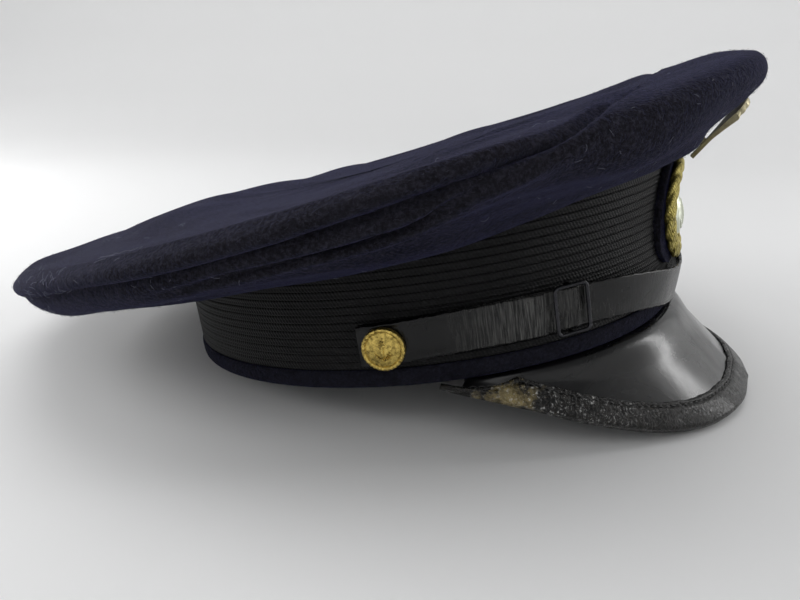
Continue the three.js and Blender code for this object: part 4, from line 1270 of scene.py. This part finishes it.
def patent_leather(name, cracked, coat):
    """Lacquered hide, glossy, rippled and dusty; cracked adds cracks and a painted highlight."""
    hide, shader = new_finish(
        name, IOR=1.45, Coat_Weight=coat, Coat_Roughness=0.17, Specular_IOR_Level=0.33)
    spot = add_node(hide, "ShaderNodeTexCoord").outputs["Object"]
    ripple = add_node(hide, "ShaderNodeTexNoise", {"Scale": 160, "Detail": 3}, {"Vector": spot})
    dust = add_node(hide, "ShaderNodeTexNoise", {"Scale": 900, "Detail": 5, "Roughness": 0.75},
                    {"Vector": spot})
    smear = add_node(hide, "ShaderNodeTexNoise", {"Scale": 35, "Detail": 4, "Distortion": 1.5},
                     {"Vector": spot})
    dusty = add_node(hide, "ShaderNodeMapRange",
                     {"From Min": 0.52, "From Max": 0.8, "To Max": 0.3},
                     {"Value": dust.outputs[0]})
    black = add_node(hide, "ShaderNodeMix", {6: "#050506", 7: "#19191b"},
                     {0: dusty.outputs[0]}, data_type="RGBA")
    dull = add_node(hide, "ShaderNodeMapRange",
                    {"From Min": 0.35, "From Max": 0.75, "To Min": 0.19, "To Max": 0.38},
                    {"Value": smear.outputs[0]})
    join_up(hide, dull.outputs[0], shader, "Roughness")
    colour = black.outputs[2]
    bump = add_node(hide, "ShaderNodeBump", {"Strength": 0.35, "Distance": 0.0003},
                    {"Height": ripple.outputs[0]})
    if cracked:
        uv = add_node(hide, "ShaderNodeTexCoord").outputs["UV"]
        squeezed = add_node(hide, "ShaderNodeMapping", {"Scale": (1.0, 0.22, 1.0)},
                            {"Vector": uv})
        cells = add_node(hide, "ShaderNodeTexVoronoi", {"Scale": 620},
                         {"Vector": squeezed.outputs[0]}, feature="DISTANCE_TO_EDGE",
                         voronoi_dimensions="2D")
        where = add_node(hide, "ShaderNodeTexNoise", {"Scale": 90, "Detail": 3},
                         {"Vector": spot})
        line = add_node(hide, "ShaderNodeMapRange",
                        {"From Min": 0.0, "From Max": 0.07, "To Min": 1.0, "To Max": 0.0},
                        {"Value": cells.outputs["Distance"]})
        patchy = add_node(hide, "ShaderNodeMapRange", {"From Min": 0.55, "From Max": 0.68},
                          {"Value": where.outputs[0]})
        crack = add_node(hide, "ShaderNodeMath", links={0: line.outputs[0], 1: patchy.outputs[0]},
                         operation="MULTIPLY")
        greyed = add_node(hide, "ShaderNodeMix", {7: "#2a2926"},
                          {0: crack.outputs[0], 6: colour}, data_type="RGBA")
        colour = greyed.outputs[2]
        bump = add_node(hide, "ShaderNodeBump",
                        {"Strength": 0.3, "Distance": 0.0002},
                        {"Height": crack.outputs[0], "Normal": bump.outputs[0]}, invert=True)
        drawn = add_node(hide, "ShaderNodeMapping", {"Scale": (1.0, 0.06, 1.0)}, {"Vector": uv})
        creases = add_node(hide, "ShaderNodeTexNoise", {"Scale": 2200, "Detail": 2},
                           {"Vector": drawn.outputs[0]})
        bump = add_node(hide, "ShaderNodeBump", {"Strength": 0.4, "Distance": 0.0002},
                        {"Height": creases.outputs[0], "Normal": bump.outputs[0]})
        # Painted highlight: near the right slide, pale streaks along the creases are mixed into the
        # colour.
        far = add_node(hide, "ShaderNodeVectorMath", {1: tuple(SHEEN_PLACE)}, {0: spot},
                       operation="DISTANCE")
        near = add_node(hide, "ShaderNodeMapRange", {"From Min": 0.027, "From Max": 0.004},
                        {"Value": far.outputs["Value"]})
        fine = add_node(hide, "ShaderNodeMapRange", {"From Min": 0.4, "From Max": 0.72},
                        {"Value": creases.outputs[0]})
        painted = add_node(hide, "ShaderNodeMath", links={0: near.outputs[0], 1: fine.outputs[0]},
                          operation="MULTIPLY")
        greyed = add_node(hide, "ShaderNodeMix", {7: "#525250"},
                          {0: painted.outputs[0], 6: colour}, data_type="RGBA")
        colour = greyed.outputs[2]
    join_up(hide, colour, shader, "Base Color")
    join_up(hide, bump.outputs[0], shader, "Normal")
    return hide


peak.data.materials.append(patent_leather("black patent leather, lacquered", False, 0.35))
strap_hide = patent_leather("black patent leather, cracked", True, 0.0)
for piece in strap_pieces:
    piece.data.materials.append(strap_hide)
print("the strap is rubbed at", SHEEN_PLACE.round(3))

# %% [markdown]
# ### Worn edging
#
# The binding is thinner leather with the same lacquer, but it takes all the knocks. It has
# crazed into plates a millimetre or so across. In one place near the strap the lacquer has
# gone and the tan hide shows, and a little further forward pale specks are a painted highlight.

# %% Crazed binding leather
crazed, shader = new_finish("black binding leather, crazed", IOR=1.5, Coat_Weight=0.1,
                            Coat_Roughness=0.14, Specular_IOR_Level=0.24)
spot = add_node(crazed, "ShaderNodeTexCoord").outputs["Object"]
warp = add_node(crazed, "ShaderNodeTexNoise", {"Scale": 300, "Detail": 3}, {"Vector": spot})
bent_spot = add_node(crazed, "ShaderNodeMix", {0: 0.004}, {6: spot, 7: warp.outputs["Color"]},
                     data_type="RGBA")
plates = add_node(crazed, "ShaderNodeTexVoronoi", {"Scale": 720},
                  {"Vector": bent_spot.outputs[2]}, feature="DISTANCE_TO_EDGE")
gaps = add_node(crazed, "ShaderNodeMapRange",
                {"From Min": 0.0, "From Max": 0.16, "To Min": 1, "To Max": 0},
                {"Value": plates.outputs["Distance"]})
lumps = add_node(crazed, "ShaderNodeTexNoise", {"Scale": 240, "Detail": 5, "Roughness": 0.7},
                 {"Vector": spot})
# The bare place is on the wearer's right, beside the end of the peak.
BARE_PLACE = to_scene([50.0, -76.5, -6.5])
moved = add_node(crazed, "ShaderNodeVectorMath", {1: tuple(BARE_PLACE)}, {0: spot},
                 operation="DISTANCE")
nearness = add_node(crazed, "ShaderNodeMapRange",
                    {"From Min": 0.022, "From Max": 0.002, "To Min": 0.0, "To Max": 0.5},
                    {"Value": moved.outputs["Value"]})
ragged = add_node(crazed, "ShaderNodeMath", links={0: nearness.outputs[0], 1: lumps.outputs[0]},
                  operation="ADD")
bare = add_node(crazed, "ShaderNodeMapRange", {"From Min": 0.84, "From Max": 1.1},
                {"Value": ragged.outputs[0]})
lacquer = add_node(crazed, "ShaderNodeMix", {6: "#050505", 7: "#1b1814"}, {0: gaps.outputs[0]},
                   data_type="RGBA")
hide_colour = add_node(crazed, "ShaderNodeMix", {7: "#85774f"},
                       {0: bare.outputs[0], 6: lacquer.outputs[2]}, data_type="RGBA")
# Painted highlight: pale specks in the colour stand in for glints of light on the lacquer.
GLINT_PLACE = to_scene([67.0, -71.0, -11.0])
glinting = add_node(crazed, "ShaderNodeVectorMath", {1: tuple(GLINT_PLACE)}, {0: spot},
                  operation="DISTANCE")
near_glints = add_node(crazed, "ShaderNodeMapRange", {"From Min": 0.036, "From Max": 0.006},
                       {"Value": glinting.outputs["Value"]})
glint_specks = add_node(crazed, "ShaderNodeTexNoise", {"Scale": 1000, "Detail": 3, "Roughness": 0.7},
                  {"Vector": spot})
# Only the brightest specks get the painted highlight.
bright = add_node(crazed, "ShaderNodeMapRange", {"From Min": 0.55, "From Max": 0.64},
                  {"Value": glint_specks.outputs[0]})
clumps = add_node(crazed, "ShaderNodeMapRange", {"From Min": 0.45, "From Max": 0.57},
                  {"Value": lumps.outputs[0]})
clumped = add_node(crazed, "ShaderNodeMath", links={0: clumps.outputs[0], 1: bright.outputs[0]},
                   operation="MULTIPLY")
painted_glints = add_node(crazed, "ShaderNodeMath",
                  links={0: near_glints.outputs[0], 1: clumped.outputs[0]}, operation="MULTIPLY")
glinted_colour = add_node(crazed, "ShaderNodeMix", {7: "#b4b4b2"},
                 {0: painted_glints.outputs[0], 6: hide_colour.outputs[2]}, data_type="RGBA")
join_up(crazed, glinted_colour.outputs[2], shader, "Base Color")
dull = add_node(crazed, "ShaderNodeMapRange",
                {"From Min": 0.3, "From Max": 0.7, "To Min": 0.14, "To Max": 0.42},
                {"Value": lumps.outputs[0]})
join_up(crazed, dull.outputs[0], shader, "Roughness")
bump = add_node(crazed, "ShaderNodeBump", {"Strength": 0.7, "Distance": 0.0006},
                {"Height": lumps.outputs[0]})
crack_bump = add_node(crazed, "ShaderNodeBump", {"Strength": 0.7, "Distance": 0.0002},
                      {"Height": gaps.outputs[0], "Normal": bump.outputs[0]}, invert=True)
join_up(crazed, crack_bump.outputs[0], shader, "Normal")
binding.data.materials.append(crazed)
# Waxed thread is duller than the lacquer beside it.
sewing.data.materials.append(
    new_finish("waxed black thread", Base_Color="#121212", Roughness=0.5)[0])
print("the edging is bare at", BARE_PLACE.round(3), "and flaked at", GLINT_PLACE.round(3))

# %% [markdown]
# ### Metals
#
# The button is gilt brass, brighter where it is rubbed and brown in its hollows. The ring is
# wound from fine gilt wire. The boss is silvered, and the shell has lost its gilding and gone
# a dull olive. They are one recipe with other colours: two tones mixed by a fine noise.

# %% Metals
STAIN_FROM, DULLED = 0.42, 0.25     # where the noise turns to stain, and how much that dulls


def metal(name, bright, dull, rough, stain, scale, ridges):
    """A worn metal; ridges gives wound wire its turns per metre."""
    made, shader = new_finish(name, Metallic=1.0)
    spot = add_node(made, "ShaderNodeTexCoord").outputs["Object"]
    blots = add_node(made, "ShaderNodeTexNoise",
                     {"Scale": scale, "Detail": 5, "Roughness": 0.65}, {"Vector": spot})
    part = add_node(made, "ShaderNodeMapRange",
                    {"From Min": STAIN_FROM, "From Max": STAIN_FROM + stain},
                    {"Value": blots.outputs[0]})
    colour = add_node(made, "ShaderNodeMix", {6: bright, 7: dull}, {0: part.outputs[0]},
                      data_type="RGBA")
    join_up(made, colour.outputs[2], shader, "Base Color")
    gloss = add_node(made, "ShaderNodeMapRange",
                     {"From Min": 0.3, "From Max": 0.7, "To Min": rough, "To Max": rough + DULLED},
                     {"Value": blots.outputs[0]})
    join_up(made, gloss.outputs[0], shader, "Roughness")
    bump = add_node(made, "ShaderNodeBump", {"Strength": 0.3, "Distance": 0.0001},
                    {"Height": blots.outputs[0]})
    if ridges:
        wire = add_node(made, "ShaderNodeTexWave", {"Scale": ridges, "Distortion": 5.0,
                                                    "Detail": 3.0, "Detail Scale": 2.0},
                        {"Vector": spot}, bands_direction="DIAGONAL")
        bump = add_node(made, "ShaderNodeBump", {"Strength": 0.9, "Distance": 0.0004},
                        {"Height": wire.outputs["Fac"], "Normal": bump.outputs[0]})
    join_up(made, bump.outputs[0], shader, "Normal")
    return made


METALS = [
    # pieces, real metal, bright tone, dull tone, roughness, the stain's soft edge, grains of
    # the stain in a metre, turns of wire in a metre
    (["gilt_button_right", "gilt_button_left"], "gilt brass, stamped",
     "#d2b866", "#3a2a10", 0.2, 0.3, 900, 0),
    (["gold_ring"], "gilt bullion wire, wound", "#b5a860", "#4e461f", 0.42, 0.35, 500, 420),
    (["silver_boss"], "silvered brass, worn", "#d6dacb", "#9a9c86", 0.3, 0.5, 260, 0),
    (["scallop_plate"], "gilding metal, tarnished", "#b9b192", "#70694e", 0.4, 0.4, 240, 0),
    (["wire_slide_right", "wire_slide_left"], "blackened steel wire",
     "#3a3a3d", "#17171a", 0.22, 0.5, 260, 0),
]
for pieces, *recipe in METALS:
    made = metal(*recipe)
    for name in pieces:
        bpy.data.objects[name].data.materials.append(made)
print(len(METALS), "metals made")

# %% [markdown]
# ## The table and the light
#
# The cap stands on a pale grey sheet that curves up behind it, as a photographer's paper
# does. Here it curves up all round, like a very wide bowl, so that it is there from every
# side. The light is broad and soft from above and in front. Two low windows at the sides, and
# a narrow strip beside the right one, make the glints in the lacquer.

# %% Roll out the paper
PAPER = [(0, 0), (0.35, 0), (0.62, 0), (0.72, 0.012), (0.82, 0.05), (0.9, 0.12), (0.95, 0.22),
         (0.97, 0.4), (0.98, 0.7)]
bm = bmesh.new()
spun(bm, PAPER, 96)
faces_out(bm)
for face in bm.faces:
    face.smooth = True
paper = show("paper", to_mesh("paper", bm))
# Matt paper: it shows the cap's soft shadow and no reflection.
paper.data.materials.append(
    new_finish("pale grey paper", Base_Color="#e4e4e4", Roughness=0.8)[0])
print("the paper is", 2 * PAPER[-1][0], "m across")

# %% Set the lights
CAP_MIDDLE, PEAK_SIDE = (0, 0, 0.05), (0.1, -0.06, 0.02)
LIGHTS = [
    # name, place, width and height, watts, what it looks at
    ("ceiling", (-0.1, 0.2, 1.25), (1.1, 1.0), 6.4, CAP_MIDDLE),
    ("left_window", (-0.68, -0.03, 0.23), (0.4, 0.22), 2.8, CAP_MIDDLE),
    ("front_window", (0.1, -0.8, 0.95), (1.0, 0.6), 2.0, CAP_MIDDLE),
    ("right_window", (0.68, 0.42, 0.3), (0.5, 0.6), 0.5, CAP_MIDDLE),
    ("right_strip", (0.725, 0.345, 0.26), (0.1, 0.4), 0.95, PEAK_SIDE),
]
for name, place, size, power, towards in LIGHTS:
    lamp = bpy.data.lights.new(name, "AREA")
    lamp.shape = "RECTANGLE"
    lamp.size, lamp.size_y = size
    lamp.energy = power
    made = show(name, lamp)
    made.location = place
    made.rotation_euler = (Vector(towards) - Vector(place)).to_track_quat("-Z", "Y").to_euler()
world = bpy.data.worlds.new("room")
world.use_nodes = True
room = world.node_tree.nodes["Background"].inputs
room["Color"].default_value, room["Strength"].default_value = hex_colour("#e6e8ea"), 0.31
print(len(LIGHTS), "lights, and a pale room round them")
bpy.context.scene.world = world
bpy.context.scene.view_settings.view_transform = "Standard"
bpy.context.scene.view_settings.look = "None"

# %% [markdown]
# ## The camera
#
# The camera stands where the photographer did: low, just ahead of the cap's right side and
# looking down at it by about nineteen degrees. Its place and lens were worked out from the
# sizes of the cap and where its edges fall in the photograph.

# %% Stand the camera
lens = bpy.data.cameras.new("camera")
lens.lens, lens.sensor_width = 34.875, 36.0
lens.clip_start, lens.clip_end = 0.01, 20.0
camera = show("camera", lens)
camera.location = (0.111039, -0.287794, 0.120764)
camera.rotation_euler = [math.radians(a) for a in (71.332, -0.471, 19.601)]
print("the camera is", round(camera.location.length, 3), "m from the ground under the cap")
bpy.context.scene.camera = camera
